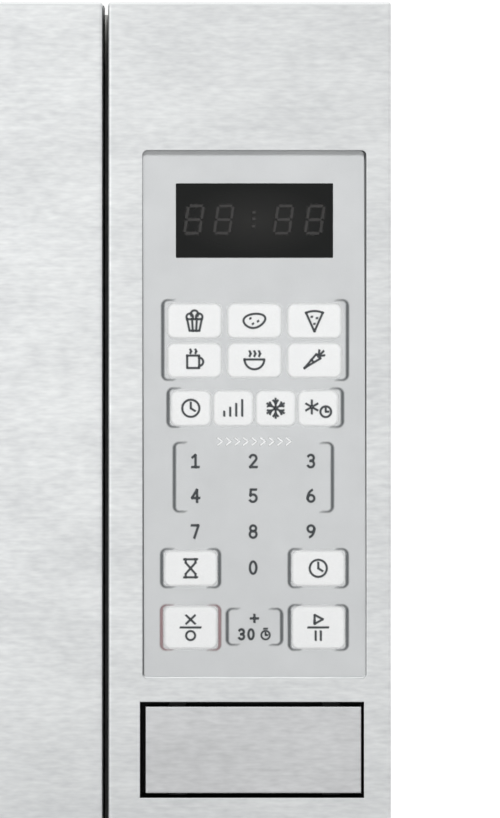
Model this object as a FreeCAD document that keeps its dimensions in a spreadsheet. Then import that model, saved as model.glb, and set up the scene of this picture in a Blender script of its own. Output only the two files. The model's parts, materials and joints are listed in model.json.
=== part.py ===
import FreeCAD, Part
import os
import re
import Sketcher

# Built-in microwave oven: side-hung door on the left, control column on the right.
# X runs left to right, Y from the front to the rear, Z up from the shelf. Sizes are in millimetres.

SIZES = (
    ("front_width", 595, "door and control column together"),
    ("front_height", 388, "door and control column"),
    ("total_depth", 420, "door face to the rear of the cord gland"),
    ("shelf_clearance", 4, "lower edge of the front above the shelf"),
    ("side_overlap", 20.5, "front beyond the casing at each side"),
    ("top_overlap", 16, "front above the casing"),
    ("rear_stand", 6, "cord gland beyond the rear panel"),
    ("foot_height", 12, "rubber feet"),
    ("foot_radius", 15, "rubber feet at the casing"),
    ("foot_taper", 3, "foot narrower at the shelf"),
    ("foot_inset", 45, "foot centre from the casing edge"),
    ("steel", 1, "sheet of casing, cavity, door skin and fascia"),
    ("plate_steel", 1.2, "sheet of the front plate"),
    ("plate_inset", 3, "front plate inside the outline of the front"),
    ("column_rim", 4, "front plate inside the openings of the column"),
    ("base_flange", 14, "upstand round the base plate"),
    ("access_gap", 12, "opening under the turntable motor round the motor"),
    ("cover_radius", 2, "fold of the outer cover"),
    ("bead_width", 16, "stiffening beads of the outer cover"),
    ("bead_height", 1.2, "stiffening beads"),
    ("bead_pitch", 118, "stiffening beads sideways"),
    ("bead_inset", 40, "stiffening beads from both ends"),
    ("louvre_width", 5, "ventilation slots"),
    ("louvre_pitch", 11, "ventilation slots"),
    ("louvre_length", 70, "ventilation slots"),
    ("inlet_length", 86, "rear inlet slots"),
    ("outlet_drop", 60, "rear outlet below the cover"),
    ("side_vent_set", 150, "side louvres in front of the rear panel"),
    ("side_vent_rise", 60, "side louvres above the fan axis"),
    ("fit", 0.3, "gap between fitted pieces"),
    ("running", 0.08, "gap between a shaft and its bearing"),
    ("wall", 2.5, "moulded wall"),
    ("past", 1, "cuts beyond the faces that they go through"),
    ("mount_hole_radius", 2.75, "cabinet screw holes in the front plate"),
    ("side_hole_pitch", 260, "cabinet screw holes in the left margin"),
    ("top_hole_pitch", 220, "cabinet screw holes in the top margin"),
    ("door_thick", 32, "door"),
    ("seal_gap", 0.6, "closed door to front plate"),
    ("seam_gap", 2.5, "door to control column"),
    ("skin_return", 18, "folded edge of door skin and fascia"),
    ("skin_radius", 1.6, "fold of door skin and fascia"),
    ("door_cover", 60, "door beyond the cavity at each side"),
    ("floor_cover", 62, "door below the cavity floor"),
    ("roof_cover", 90, "door above the cavity roof"),
    ("rear_space", 56, "cavity to the rear end"),
    ("window_margin", 65, "steel beside the door window"),
    ("glass_thick", 4, "door glass"),
    ("glass_lap", 8, "door glass behind the skin"),
    ("glass_corner", 6, "corner of the door glass"),
    ("choke_lap", 22, "screen pan beyond the cavity"),
    ("choke_depth", 11, "screen pan"),
    ("choke_ring", 2, "choke cover"),
    ("view_margin", 18, "viewing screen inside the cavity outline"),
    ("screen_lap", 8, "inner screen beyond the view"),
    ("screen_thick", 1.5, "inner screen"),
    ("cover_edge", 12, "choke cover beyond the hooks"),
    ("rail_start", 50, "first cell of the door frame from the left"),
    ("rail_end", 6, "last cell of the door frame from the right"),
    ("stile_end", 20, "cells of the door frame from the hinges"),
    ("hinge_radius", 7, "hinge axis from the door edge and back"),
    ("hinge_inset", 40, "hinge plates from top and bottom of the door"),
    ("hinge_steel", 2.5, "hinge plate"),
    ("hinge_pin_radius", 2.5, "hinge pin"),
    ("hinge_pin_length", 16, "hinge pin"),
    ("hinge_set", 2, "hinge neck from the casing side"),
    ("hinge_neck", 12, "hinge neck in the front plate"),
    ("hinge_tongue", 16, "hinge plate beyond the casing side"),
    ("hinge_leg", 20, "hinge leg behind the front plate"),
    ("hinge_clear", 0.5, "slot round the hinge neck"),
    ("hinge_swing", 3, "room beside the hinge plate as the door swings"),
    ("column_width", 132, "control column"),
    ("panel_margin", 16.1, "steel left of the control panel"),
    ("panel_width", 104.4, "control panel opening"),
    ("panel_corner", 2.3, "corner of the control panel opening"),
    ("panel_height", 246.4, "control panel opening"),
    ("panel_recess", 1.8, "control panel behind the steel face"),
    ("panel_gap", 0.6, "gap round the control panel"),
    ("overlay_thick", 1.2, "membrane keypad"),
    ("emboss", 0.25, "raised key zones"),
    ("key_corner", 2, "corner of a key zone"),
    ("display_width", 73.4, "display window"),
    ("display_height", 34.8, "display window"),
    ("display_drop", 15.3, "display below the top of the panel"),
    ("lens_drop", 0.15, "display window behind the film"),
    ("lens_seat", 2, "carrier behind the display window"),
    ("preset_width", 25, "preset key"),
    ("preset_height", 16, "preset key"),
    ("preset_pitch", 28, "preset keys sideways"),
    ("preset_rise", 18.4, "preset keys upwards"),
    ("preset_drop", 79.5, "upper preset keys below the top of the panel"),
    ("function_width", 18.3, "function key"),
    ("function_height", 15.6, "function key"),
    ("function_pitch", 19.8, "function keys sideways"),
    ("function_drop", 120.1, "function keys below the top of the panel"),
    ("side_key_width", 23.6, "timer and clock keys"),
    ("side_key_height", 15.6, "timer and clock keys"),
    ("side_key_pitch", 29.8, "outer keys from the panel centre"),
    ("side_key_drop", 195, "timer and clock keys below the top of the panel"),
    ("start_height", 18.7, "stop and start keys"),
    ("start_drop", 222.4, "stop and start keys below the top of the panel"),
    ("board_space", 12, "control board behind its carrier"),
    ("board_thick", 1.6, "control board"),
    ("board_inset", 5, "control board inside the panel opening"),
    ("board_corner", 3, "corner of the control board"),
    ("post_inset", 12, "board posts from the panel opening"),
    ("board_post", 8, "board posts"),
    ("relay_width", 16, "relay"),
    ("relay_height", 22, "relay"),
    ("relay_depth", 12, "relay"),
    ("relay_left", 30, "outer relay from the panel centre"),
    ("relay_pitch", 22, "relays sideways"),
    ("relay_rise", 40, "relays above the bottom of the panel"),
    ("supply_width", 30, "board transformer"),
    ("supply_height", 36, "board transformer"),
    ("supply_depth", 13, "board transformer"),
    ("supply_right", 26, "board transformer from the panel centre"),
    ("supply_rise", 50, "board transformer above the bottom of the panel"),
    ("chip_width", 18, "controller"),
    ("chip_height", 32, "controller"),
    ("chip_depth", 3, "controller"),
    ("chip_rise", 130, "controller above the bottom of the panel"),
    ("socket_width", 24, "board socket"),
    ("socket_height", 10, "board socket"),
    ("socket_depth", 8, "board socket"),
    ("socket_left", 28, "board socket from the panel centre"),
    ("socket_drop", 40, "board socket below the panel top"),
    ("reservoir_radius", 6, "board capacitor"),
    ("reservoir_depth", 12, "board capacitor"),
    ("reservoir_right", 14, "inner board capacitor from the panel centre"),
    ("reservoir_pitch", 20, "board capacitors sideways"),
    ("reservoir_rise", 88, "board capacitors above the bottom of the panel"),
    ("button_foot", 16.8, "steel under the button opening"),
    ("button_drop", 10.95, "button opening below the control panel"),
    ("button_opening", 44.65, "height of the button opening"),
    ("button_shift", 1.15, "button opening left of the control panel"),
    ("button_gap", 2, "gap above and below the button"),
    ("button_left_gap", 2.4, "gap left of the button"),
    ("button_right_gap", 1.1, "gap right of the button"),
    ("button_recess", 0.3, "button behind the steel face"),
    ("button_depth", 16, "button front to rear"),
    ("cap_thick", 1.5, "steel cap of the button"),
    ("cap_edge", 0.9, "rounded edge of the cap"),
    ("cap_lip", 0.4, "cap beyond the moulded button"),
    ("button_wall", 2, "wall of the moulded button"),
    ("button_travel", 6, "stroke of the button"),
    ("button_stop", 2, "pressed button to the shelf behind it"),
    ("pusher", 10, "pusher behind the button"),
    ("push_stand", 2, "pusher behind the front plate"),
    ("rib_pitch", 72, "guide ribs of the button sideways"),
    ("rib_width", 8, "guide rib of the button"),
    ("rib_length", 6, "guide rib of the button front to rear"),
    ("rib_gap", 0.5, "guide rib to the opening"),
    ("push_offset", 19, "pusher from the left of the button opening"),
    ("spring_radius", 4, "button spring"),
    ("spring_wire", 0.5, "button spring"),
    ("spring_pitch", 3.4, "button spring"),
    ("spring_left", 8, "left button spring from the panel centre"),
    ("spring_right", 34, "right button spring from the panel centre"),
    ("latch_inset", 29, "hooks from the door edge"),
    ("hook_rise", 32, "lower hook above the cavity floor"),
    ("hook_pitch", 140, "hooks upwards"),
    ("hook_half", 4, "half the thickness of a hook"),
    ("hook_height", 10, "hook arm"),
    ("hook_reach", 38, "hook behind the front plate"),
    ("hook_swing", 3.5, "room beside a hook as the door swings"),
    ("hook_clear", 1.5, "room left of and under a hook"),
    ("hook_room", 6, "room above a hook for its lift"),
    ("nose", 3, "sloping tip of a hook"),
    ("bar_set", 10, "hook bar inside the door back"),
    ("bar_thick", 10, "hook bar"),
    ("bar_foot", 12, "hook bar beyond the hooks"),
    ("bar_gap", 0.5, "door frame round the hook bar"),
    ("spring_room", 26, "latch spring above the hook bar"),
    ("latch_spring_radius", 2.6, "latch spring"),
    ("latch_spring_wire", 0.45, "latch spring"),
    ("latch_spring_pitch", 4, "latch spring"),
    ("beak", 4, "hook beak below its arm"),
    ("beak_length", 6, "hook beak front to rear"),
    ("lever_drop", 4.5, "lever shaft below the hook beak"),
    ("lever_set", 9, "lever shaft behind the front plate"),
    ("lever_radius", 3, "lever shaft"),
    ("lift_edge", 0.5, "lifting arm of the lever from the hook middle"),
    ("latch_head", 8, "latch body above the hook bar"),
    ("latch_foot", 12, "latch body below the lever shaft"),
    ("flange_left", 16, "latch flange left of the hooks"),
    ("flange_right", 30, "latch flange right of the hooks"),
    ("web_reach", 14, "latch web behind the hook tips"),
    ("ear_thick", 4, "lever bearing"),
    ("ear_half", 7, "half the height of the lever bearing"),
    ("keeper_thick", 4, "keepers under the hooks"),
    ("switch_set", 3, "interlock switch behind the hook tips"),
    ("switch_length", 10, "interlock switch"),
    ("switch_height", 20, "interlock switch"),
    ("switch_edge", 2.5, "interlock switch right of the hook middle"),
    ("plunger", 3, "plunger of the interlock switch"),
    ("toe_radius", 4, "rounded toe of the lever behind the button"),
    ("tray_wall_gap", 18, "glass tray to the nearest wall"),
    ("tray_thick", 5, "glass tray"),
    ("tray_rim", 13, "glass tray rim above its underside"),
    ("tray_flare", 16, "sloping edge of the glass tray"),
    ("tray_lip", 4, "lip of the glass tray"),
    ("tray_step", 3, "inner slope of the glass tray"),
    ("tray_lug", 6, "lugs under the glass tray"),
    ("lug_gap", 1.5, "lug of the tray to a lobe of the coupler"),
    ("lug_drop", 8, "lugs below the glass tray"),
    ("roller_radius", 8, "roller"),
    ("roller_width", 7, "roller"),
    ("ring_inset", 55.7, "middle of the roller ring inside the tray edge"),
    ("ring_width", 8, "roller ring"),
    ("ring_height", 5, "roller ring"),
    ("axle_radius", 2, "roller axle"),
    ("axle_end", 3, "axle beyond its roller"),
    ("roller_gap", 1, "roller to the ring"),
    ("coupler_radius", 9, "coupler hub"),
    ("lobe_reach", 16, "coupler lobes from the centre"),
    ("lobe_width", 6, "coupler lobes"),
    ("lobe_rise", 4, "lobes above the foot of the coupler"),
    ("coupler_gap", 2, "coupler above the cavity floor"),
    ("hub_gap", 3, "hole in the cavity round the shaft"),
    ("shaft_radius", 3, "turntable shaft"),
    ("motor_radius", 25, "turntable motor"),
    ("motor_height", 20, "turntable motor"),
    ("motor_ear", 9, "ears of the turntable motor"),
    ("ear_width", 14, "ears of the turntable motor"),
    ("ear_steel", 1.5, "ears of the turntable motor"),
    ("shaft_depth", 11, "shaft in the turntable motor"),
    ("feed_rise", 128, "waveguide above the cavity floor"),
    ("guide_depth", 38, "waveguide outwards"),
    ("guide_height", 84, "waveguide"),
    ("guide_length", 130, "waveguide front to rear"),
    ("window_width", 70, "waveguide window"),
    ("window_height", 46, "waveguide window"),
    ("window_set", 8, "waveguide window from the front of the waveguide"),
    ("guide_rim", 8, "rim of the waveguide"),
    ("mica", 0.8, "waveguide cover sheet"),
    ("mica_lap", 12, "cover sheet beyond the window"),
    ("mica_corner", 6, "corner of the cover sheet"),
    ("tube_set", 34, "magnetron axis from the rear of the waveguide"),
    ("port_gap", 4, "waveguide port round the antenna"),
    ("yoke_length", 56, "magnetron yoke outwards"),
    ("yoke_width", 84, "magnetron yoke front to rear"),
    ("yoke_height", 72, "magnetron yoke"),
    ("yoke_steel", 1.6, "magnetron yoke"),
    ("magnet_thick", 10, "magnetron magnets"),
    ("magnet_radius", 27, "magnetron magnets"),
    ("anode_radius", 19, "magnetron anode"),
    ("fin_thick", 0.8, "cooling fin of the anode"),
    ("fin_gap", 2, "outer cooling fins to the magnets"),
    ("fin_inset", 3, "cooling fins inside the yoke"),
    ("antenna_radius", 8, "magnetron antenna"),
    ("antenna_length", 24, "magnetron antenna in the waveguide"),
    ("antenna_gap", 2, "yoke and magnets round the antenna"),
    ("antenna_neck", 8, "thick end of the antenna"),
    ("antenna_step", 1.5, "step of the antenna"),
    ("filter_length", 26, "magnetron filter box"),
    ("filter_width", 52, "magnetron filter box"),
    ("filter_height", 48, "magnetron filter box"),
    ("plug_width", 24, "plug of the filter box"),
    ("plug_inset", 6, "plug inside the filter box ends"),
    ("plug_drop", 10, "plug below the filter box"),
    ("core_width", 92, "transformer"),
    ("core_height", 76, "transformer"),
    ("core_stack", 58, "transformer lamination stack"),
    ("core_leg", 16, "transformer outer legs"),
    ("coil_out", 14, "transformer coils beyond the stack"),
    ("coil_gap", 3, "between the transformer coils"),
    ("weld_width", 4, "weld groove of the transformer"),
    ("weld_depth", 2, "weld groove of the transformer"),
    ("core_set", 62, "transformer behind the front plate"),
    ("can_width", 50, "capacitor"),
    ("can_thick", 32, "capacitor"),
    ("can_height", 92, "capacitor"),
    ("can_set", 196, "capacitor behind the front plate"),
    ("can_gap", 6, "capacitor to the casing side"),
    ("post_radius", 3, "capacitor posts"),
    ("post_height", 8, "capacitor posts"),
    ("post_pitch", 18, "capacitor posts"),
    ("band_rise", 50, "capacitor clamp above the base plate"),
    ("band_width", 12, "capacitor clamp"),
    ("band_foot", 16, "foot of the capacitor clamp"),
    ("diode_radius", 4, "diode"),
    ("diode_length", 26, "diode"),
    ("diode_set", 14, "diode in front of the capacitor"),
    ("lug_length", 48, "diode lugs"),
    ("lug_width", 6, "diode lugs"),
    ("fan_radius", 54, "fan"),
    ("fan_hub", 13, "fan hub"),
    ("fan_depth", 14, "fan hub front to rear"),
    ("fan_rise", 140, "fan above the base plate"),
    ("shroud_set", 34, "fan shroud in front of the rear panel"),
    ("shroud_margin", 14, "fan shroud beyond the fan"),
    ("shroud_thick", 2, "fan shroud"),
    ("shroud_lip", 14, "ring of the fan shroud"),
    ("fan_gap", 3, "fan to its shroud"),
    ("fan_set", 4, "fan in front of the shroud"),
    ("fan_shaft", 2, "fan shaft radius"),
    ("shaft_end", 2, "fan shaft beyond the motor middle"),
    ("blade_root", 14, "fan blade at the hub"),
    ("blade_tip", 22, "fan blade at its tip"),
    ("blade_thick", 1.8, "fan blade"),
    ("blade_sink", 2, "fan blade in the hub"),
    ("strut_set", 4, "motor struts outside the fan"),
    ("strut_width", 6, "motor struts"),
    ("arm_height", 8, "motor arms"),
    ("arm_thick", 3, "motor arms"),
    ("fan_motor_set", 44, "fan motor in front of the shroud"),
    ("stack_width", 42, "fan motor stack"),
    ("stack_height", 36, "fan motor stack"),
    ("stack_front", 12, "fan motor stack before its middle"),
    ("stack_rear", 6, "fan motor stack behind its middle"),
    ("winding_width", 26, "fan motor winding"),
    ("winding_height", 16, "fan motor winding"),
    ("winding_out", 6, "fan motor winding beyond the stack"),
    ("bearing_radius", 12, "fan motor bearing"),
    ("lamp_radius", 11, "oven lamp"),
    ("lamp_case", 17, "lamp housing from its centre"),
    ("lamp_gap", 3, "lamp housing in front of the waveguide rim"),
    ("lamp_drop", 32, "lamp below the cavity roof"),
    ("lamp_depth", 44, "lamp housing"),
    ("lamp_wall", 2, "lamp housing"),
    ("bulb_set", 5, "bulb from the cavity wall"),
    ("bulb_length", 23, "bulb"),
    ("bulb_base", 7, "radius of the bulb base"),
    ("lamp_grid", 6, "light holes in the cavity wall"),
    ("lamp_hole", 3.5, "light hole"),
    ("thermostat_radius", 8, "thermostat"),
    ("thermostat_depth", 9, "thermostat"),
    ("thermostat_set", 24, "thermostat behind the waveguide"),
    ("tab_length", 8, "thermostat tabs"),
    ("tab_width", 12, "thermostat tabs"),
    ("tab_thick", 1, "thermostat and diode tabs"),
    ("noise_width", 68, "noise filter"),
    ("noise_depth", 36, "noise filter"),
    ("noise_set", 26, "noise filter in front of the rear panel"),
    ("noise_drop", 14, "noise filter below the cover"),
    ("card_thick", 2, "noise filter card"),
    ("stud_pitch", 60, "studs of the noise filter"),
    ("stud_width", 6, "studs of the noise filter"),
    ("stud_depth", 20, "studs of the noise filter"),
    ("choke_width", 28, "choke of the noise filter"),
    ("choke_thick", 22, "choke of the noise filter"),
    ("choke_height", 20, "choke of the noise filter"),
    ("gland_radius", 9, "cord gland collar"),
    ("gland_bore", 4, "cord gland bore radius"),
    ("gland_length", 12, "cord gland inside the rear panel"),
    ("gland_step", 2, "step of the gland collar"),
    ("gland_inset", 60, "gland from the casing side"),
    ("gland_rise", 60, "gland above the base plate"),
)

# Planes and axes that follow from the sizes.
PLACES = {
    "front_left": "-front_width / 2",
    "front_right": "front_width / 2",
    "front_y": "-total_depth / 2",
    "rear_y": "total_depth / 2",
    "front_top": "shelf_clearance + front_height",
    "door_back": "front_y + door_thick",
    "plate_front": "door_back + seal_gap",
    "plate_back": "plate_front + plate_steel",
    "skin_back": "front_y + skin_return",
    "body_left": "front_left + side_overlap",
    "body_right": "front_right - side_overlap",
    "body_top": "front_top - top_overlap",
    "case_rear": "rear_y - rear_stand",
    "base_top": "foot_height + steel",
    "column_left": "front_right - column_width",
    "door_right": "column_left - seam_gap",
    "cavity_left": "front_left + door_cover",
    "cavity_right": "door_right - door_cover",
    "cavity_floor": "shelf_clearance + floor_cover",
    "cavity_roof": "front_top - roof_cover",
    "cavity_back": "rear_y - rear_space",
    "bay_left": "cavity_right + steel",
    "bay_right": "body_right - steel",
    "bay_x": "(bay_left + bay_right) / 2",
    "hinge_x": "front_left + hinge_radius",
    "hinge_y": "door_back - hinge_radius",
    "hinge_low": "shelf_clearance + hinge_inset",
    "hinge_high": "front_top - hinge_inset",
    "panel_left": "column_left + panel_margin",
    "panel_right": "panel_left + panel_width",
    "panel_x": "panel_left + panel_width / 2",
    "opening_bottom": "shelf_clearance + button_foot",
    "opening_top": "opening_bottom + button_opening",
    "button_z": "opening_bottom + button_opening / 2",
    "opening_left": "panel_left - button_shift",
    "opening_right": "panel_right - button_shift",
    "panel_bottom": "opening_top + button_drop",
    "panel_top": "panel_bottom + panel_height",
    "overlay_front": "front_y + panel_recess",
    "overlay_back": "overlay_front + overlay_thick",
    "carrier_back": "overlay_back + wall",
    "board_front": "carrier_back + board_space",
    "board_back": "board_front + board_thick",
    "display_top": "panel_top - display_drop",
    "display_bottom": "display_top - display_height",
    "button_front": "front_y + button_recess",
    "button_back": "front_y + button_depth",
    "shelf_front": "button_back + button_travel + button_stop",
    "shelf_back": "shelf_front + wall",
    "push_x": "panel_left + push_offset",
    "push_end": "plate_back + push_stand",
    "latch_x": "door_right - latch_inset",
    "hook_z": "cavity_floor + hook_rise",
    "beak_z": "hook_z - hook_height / 2 - beak",
    "hook_tip": "plate_back + hook_reach",
    "beak_front": "hook_tip - beak_length",
    "bar_front": "bar_back - bar_thick",
    "bar_back": "door_back - bar_set",
    "bar_top": "hook_z + hook_pitch + bar_foot",
    "channel_top": "bar_top + spring_room",
    "lever_y": "plate_back + lever_set",
    "lever_z": "beak_z - lever_drop",
    "glass_left": "front_left + window_margin - glass_lap",
    "glass_right": "door_right - window_margin + glass_lap",
    "glass_back": "front_y + steel + glass_thick",
    "choke_left": "cavity_left - choke_lap",
    "choke_right": "cavity_right + choke_lap",
    "choke_low": "cavity_floor - choke_lap",
    "choke_high": "cavity_roof + choke_lap",
    "choke_front": "door_back - choke_ring - choke_depth",
    "choke_back": "door_back - choke_ring",
    "view_left": "cavity_left + view_margin",
    "view_right": "cavity_right - view_margin",
    "view_low": "cavity_floor + view_margin",
    "view_high": "cavity_roof - view_margin",
    "tray_x": "(cavity_left + cavity_right) / 2",
    "tray_y": "(plate_front + cavity_back) / 2",
    "tray_radius": "min(cavity_right - cavity_left; cavity_back - plate_front) / 2 - tray_wall_gap",
    "axle_z": "cavity_floor + fit + roller_radius",
    "tray_z": "axle_z + roller_radius + fit",
    "coupler_low": "cavity_floor + coupler_gap",
    "coupler_high": "tray_z - fit",
    "motor_top": "cavity_floor - steel",
    "ring_radius": "tray_radius - ring_inset",
    "ring_outer": "ring_radius + ring_width / 2",
    "guide_right": "bay_left + guide_depth",
    "guide_z": "cavity_floor + feed_rise",
    "guide_front": "tray_y - guide_length / 2",
    "guide_rear": "tray_y + guide_length / 2",
    "window_y": "guide_front + window_width / 2 + window_set",
    "tube_y": "guide_rear - tube_set",
    "yoke_right": "guide_right + yoke_length",
    "core_front": "plate_back + core_set",
    "core_rear": "core_front + core_stack",
    "coil_z": "base_top + core_height / 2",
    "can_front": "plate_back + can_set",
    "can_x": "bay_right - can_width / 2 - can_gap",
    "fan_z": "base_top + fan_rise",
    "shroud_y": "case_rear - steel - shroud_set",
    "motor_y": "shroud_y - fan_motor_set",
    "lamp_y": "guide_front - guide_rim - lamp_gap - lamp_case",
    "lamp_z": "cavity_roof - lamp_drop",
    "gland_x": "body_left + gland_inset",
    "gland_z": "base_top + gland_rise",
}

V = FreeCAD.Vector
doc = FreeCAD.newDocument("built_in_microwave")
sheet = doc.addObject("Spreadsheet::Sheet", "Sizes")
for row, (alias, size, meaning) in enumerate(SIZES, start=1):
    sheet.set(f"A{row}", meaning)
    sheet.set(f"B{row}", str(size))
    sheet.setAlias(f"B{row}", alias)
doc.recompute()

ALIASES = {alias for alias, size, meaning in SIZES}
PIECES = []
NORMALS = {}
PLANES = {"XY": ("XY_Plane", "+z", 1), "XZ": ("XZ_Plane", "-y", -1), "YZ": ("YZ_Plane", "+x", 1)}
UPRIGHT = {
    "x": FreeCAD.Rotation(V(0, 1, 0), 90),
    "y": FreeCAD.Rotation(V(1, 0, 0), -90),
    "z": FreeCAD.Rotation(),
}


def formula(text):
    """Spells a formula out in the names of the sheet."""

    def spell(match):
        word = match.group()
        if word in PLACES:
            return "(" + formula(PLACES[word]) + ")"
        return "Sizes." + word if word in ALIASES else word

    return re.sub(r"[a-z][a-z0-9_]*", spell, str(text))


def around(middle, half):
    """Low and high plane at equal distances from a middle plane."""
    return f"{middle} - ({half})", f"{middle} + ({half})"


def piece(shape, label):
    """Keeps a finished sub-part under its own name."""
    shape.Label = label
    PIECES.append(shape)
    return shape


# Solids from planes.


def box(name, x, y, z):
    """Block between three pairs of planes."""
    block = doc.addObject("Part::Box", name)
    for side, axis, (low, high) in zip(("Length", "Width", "Height"), "xyz", (x, y, z)):
        block.setExpression(side, formula(f"({high}) - ({low})"))
        block.setExpression("Placement.Base." + axis, formula(low))
    return block


def rod(name, radius, axis, span, centre, end_radius=None):
    """Round bar, or a taper, along one axis; the centre gives the two other coordinates in order."""
    kind, radii = "Part::Cylinder", ("Radius",)
    if end_radius is not None:
        kind, radii = "Part::Cone", ("Radius1", "Radius2")
    bar = doc.addObject(kind, name)
    for label, size in zip(radii, (radius, end_radius)):
        bar.setExpression(label, formula(size))
    bar.setExpression("Height", formula(f"({span[1]}) - ({span[0]})"))
    bar.Placement = FreeCAD.Placement(V(0, 0, 0), UPRIGHT[axis])
    spot = list(centre)
    spot.insert("xyz".index(axis), span[0])
    for letter, text in zip("xyz", spot):
        bar.setExpression("Placement.Base." + letter, formula(text))
    return bar


def fuse(name, *shapes):
    joined = doc.addObject("Part::MultiFuse", name)
    joined.Shapes = list(shapes)
    joined.Refine = True
    return joined


def cut(name, base, *tools):
    result = doc.addObject("Part::Cut", name)
    result.Base = base
    result.Tool = tools[0] if len(tools) == 1 else fuse(name + "_tool", *tools)
    return result


def group(name, shapes):
    """Separate solids of one kind under one name."""
    joined = doc.addObject("Part::Compound", name)
    joined.Links = list(shapes)
    return joined


# Sketch-based bodies.


def origin_of(body, role):
    return next(part for part in body.Origin.OriginFeatures if part.Role == role)


def new_body(label):
    return piece(doc.addObject("PartDesign::Body", label), label)


def sketch(body, plane, at):
    """Sketch on a plane of the shared frame."""
    role, normal, sign = PLANES[plane]
    profile = body.newObject("Sketcher::SketchObject", body.Name + "_sketch")
    profile.AttachmentSupport = [(origin_of(body, role), "")]
    profile.MapMode = "FlatFace"
    profile.setExpression("AttachmentOffset.Base.z", formula(f"{sign} * ({at})"))
    NORMALS[profile.Name] = normal
    return profile


def dimension(profile, kind, line, end, text):
    """Ties one coordinate of a sketch point to a formula."""
    if str(text) == "0":
        axis = -2 if kind == "DistanceX" else -1
        profile.addConstraint(Sketcher.Constraint("PointOnObject", line, end, axis))
        return
    index = profile.addConstraint(Sketcher.Constraint(kind, -1, 1, line, end, 1.0))
    profile.setExpression(f"Constraints[{index}]", formula(text))


def polygon(profile, points):
    """Closed outline with every corner tied to formulas."""
    first = profile.GeometryCount
    count = len(points)
    ring = [V(10 + i, 10 + (i * i) % 7, 0) for i in range(count)]
    for i in range(count):
        profile.addGeometry(Part.LineSegment(ring[i], ring[(i + 1) % count]))
    for i in range(count):
        profile.addConstraint(Sketcher.Constraint("Coincident", first + i, 2, first + (i + 1) % count, 1))
    for i, (x, y) in enumerate(points):
        dimension(profile, "DistanceX", first + i, 1, x)
        dimension(profile, "DistanceY", first + i, 1, y)


def rectangle(profile, x, y):
    polygon(profile, [(x[0], y[0]), (x[1], y[0]), (x[1], y[1]), (x[0], y[1])])


def circle(profile, x, y, radius):
    index = profile.addGeometry(Part.Circle(V(1, 1, 0), V(0, 0, 1), 1))
    dimension(profile, "DistanceX", index, 3, x)
    dimension(profile, "DistanceY", index, 3, y)
    size = profile.addConstraint(Sketcher.Constraint("Radius", index, 1.0))
    profile.setExpression(f"Constraints[{size}]", formula(radius))


def extrude(body, kind, profile, depth, towards):
    feature = body.newObject("PartDesign::" + kind, profile.Name + "_" + kind.lower())
    feature.Profile = profile
    feature.setExpression("Length", formula(depth))
    along = NORMALS[profile.Name] == towards
    feature.Reversed = along if kind == "Pocket" else not along
    return feature


def pad(body, profile, depth, towards):
    return extrude(body, "Pad", profile, depth, towards)


def pocket(body, profile, depth, towards):
    return extrude(body, "Pocket", profile, depth, towards)


def pad_box(body, x, y, z):
    """Adds a block, drawn on its front face."""
    profile = sketch(body, "XZ", y[0])
    rectangle(profile, x, z)
    return pad(body, profile, f"({y[1]}) - ({y[0]})", "+y")


def pocket_box(body, x, y, z):
    """Cuts a block, drawn on its front face."""
    profile = sketch(body, "XZ", y[0])
    rectangle(profile, x, z)
    return pocket(body, profile, f"({y[1]}) - ({y[0]})", "+y")


def row(body, feature, axis, count, pitch):
    """Repeats a feature in a line."""
    pattern = body.newObject("PartDesign::LinearPattern", feature.Name + "_row")
    pattern.Originals = [feature]
    pattern.Direction = (origin_of(body, axis.upper() + "_Axis"), [""])
    pattern.Mode = "Spacing"
    pattern.setExpression("Offset", formula(pitch))
    pattern.Occurrences = count
    body.Tip = pattern
    return pattern


def star(body, feature, axis, count):
    """Repeats a feature round an axis of the body."""
    pattern = body.newObject("PartDesign::PolarPattern", feature.Name + "_star")
    pattern.Originals = [feature]
    pattern.Axis = (origin_of(body, axis.upper() + "_Axis"), [""])
    pattern.Angle = 360
    pattern.Occurrences = count
    body.Tip = pattern
    return pattern


def revolve(body, points):
    """Turns an outline of radius and height round the upright axis of the body."""
    profile = sketch(body, "XZ", "0")
    polygon(profile, points)
    turned = body.newObject("PartDesign::Revolution", profile.Name + "_turn")
    turned.Profile = profile
    turned.ReferenceAxis = (profile, ["V_Axis"])
    turned.Angle = 360
    return turned


def stand(body, x, y, z):
    """Puts a body drawn round its own axis in its place."""
    for letter, text in zip("xyz", (x, y, z)):
        body.setExpression("Placement.Base." + letter, formula(text))


def dress(body, kind, size, chosen):
    """Rounds or chamfers the edges of a body that the test chooses."""
    doc.recompute()
    tip = body.Tip
    names = [f"Edge{i}" for i, edge in enumerate(tip.Shape.Edges, start=1) if chosen(edge)]
    dressed = body.newObject("PartDesign::" + kind, body.Name + "_" + kind.lower())
    dressed.Base = (tip, names)
    dressed.setExpression("Radius" if kind == "Fillet" else "Size", formula(size))
    return dressed


def fillet(body, radius, chosen):
    return dress(body, "Fillet", radius, chosen)


def runs_along(edge, axis):
    """True for a straight edge along an axis."""
    if edge.Curve.TypeId != "Part::GeomLine":
        return False
    return abs(getattr(edge.tangentAt(edge.FirstParameter), axis)) > 0.999


def lies_at(edge, axis, level):
    """True for an edge wholly in a plane across an axis."""
    bounds = edge.BoundBox
    low, high = getattr(bounds, axis.upper() + "Min"), getattr(bounds, axis.upper() + "Max")
    return abs(low - level) < 0.02 and abs(high - level) < 0.02


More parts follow.
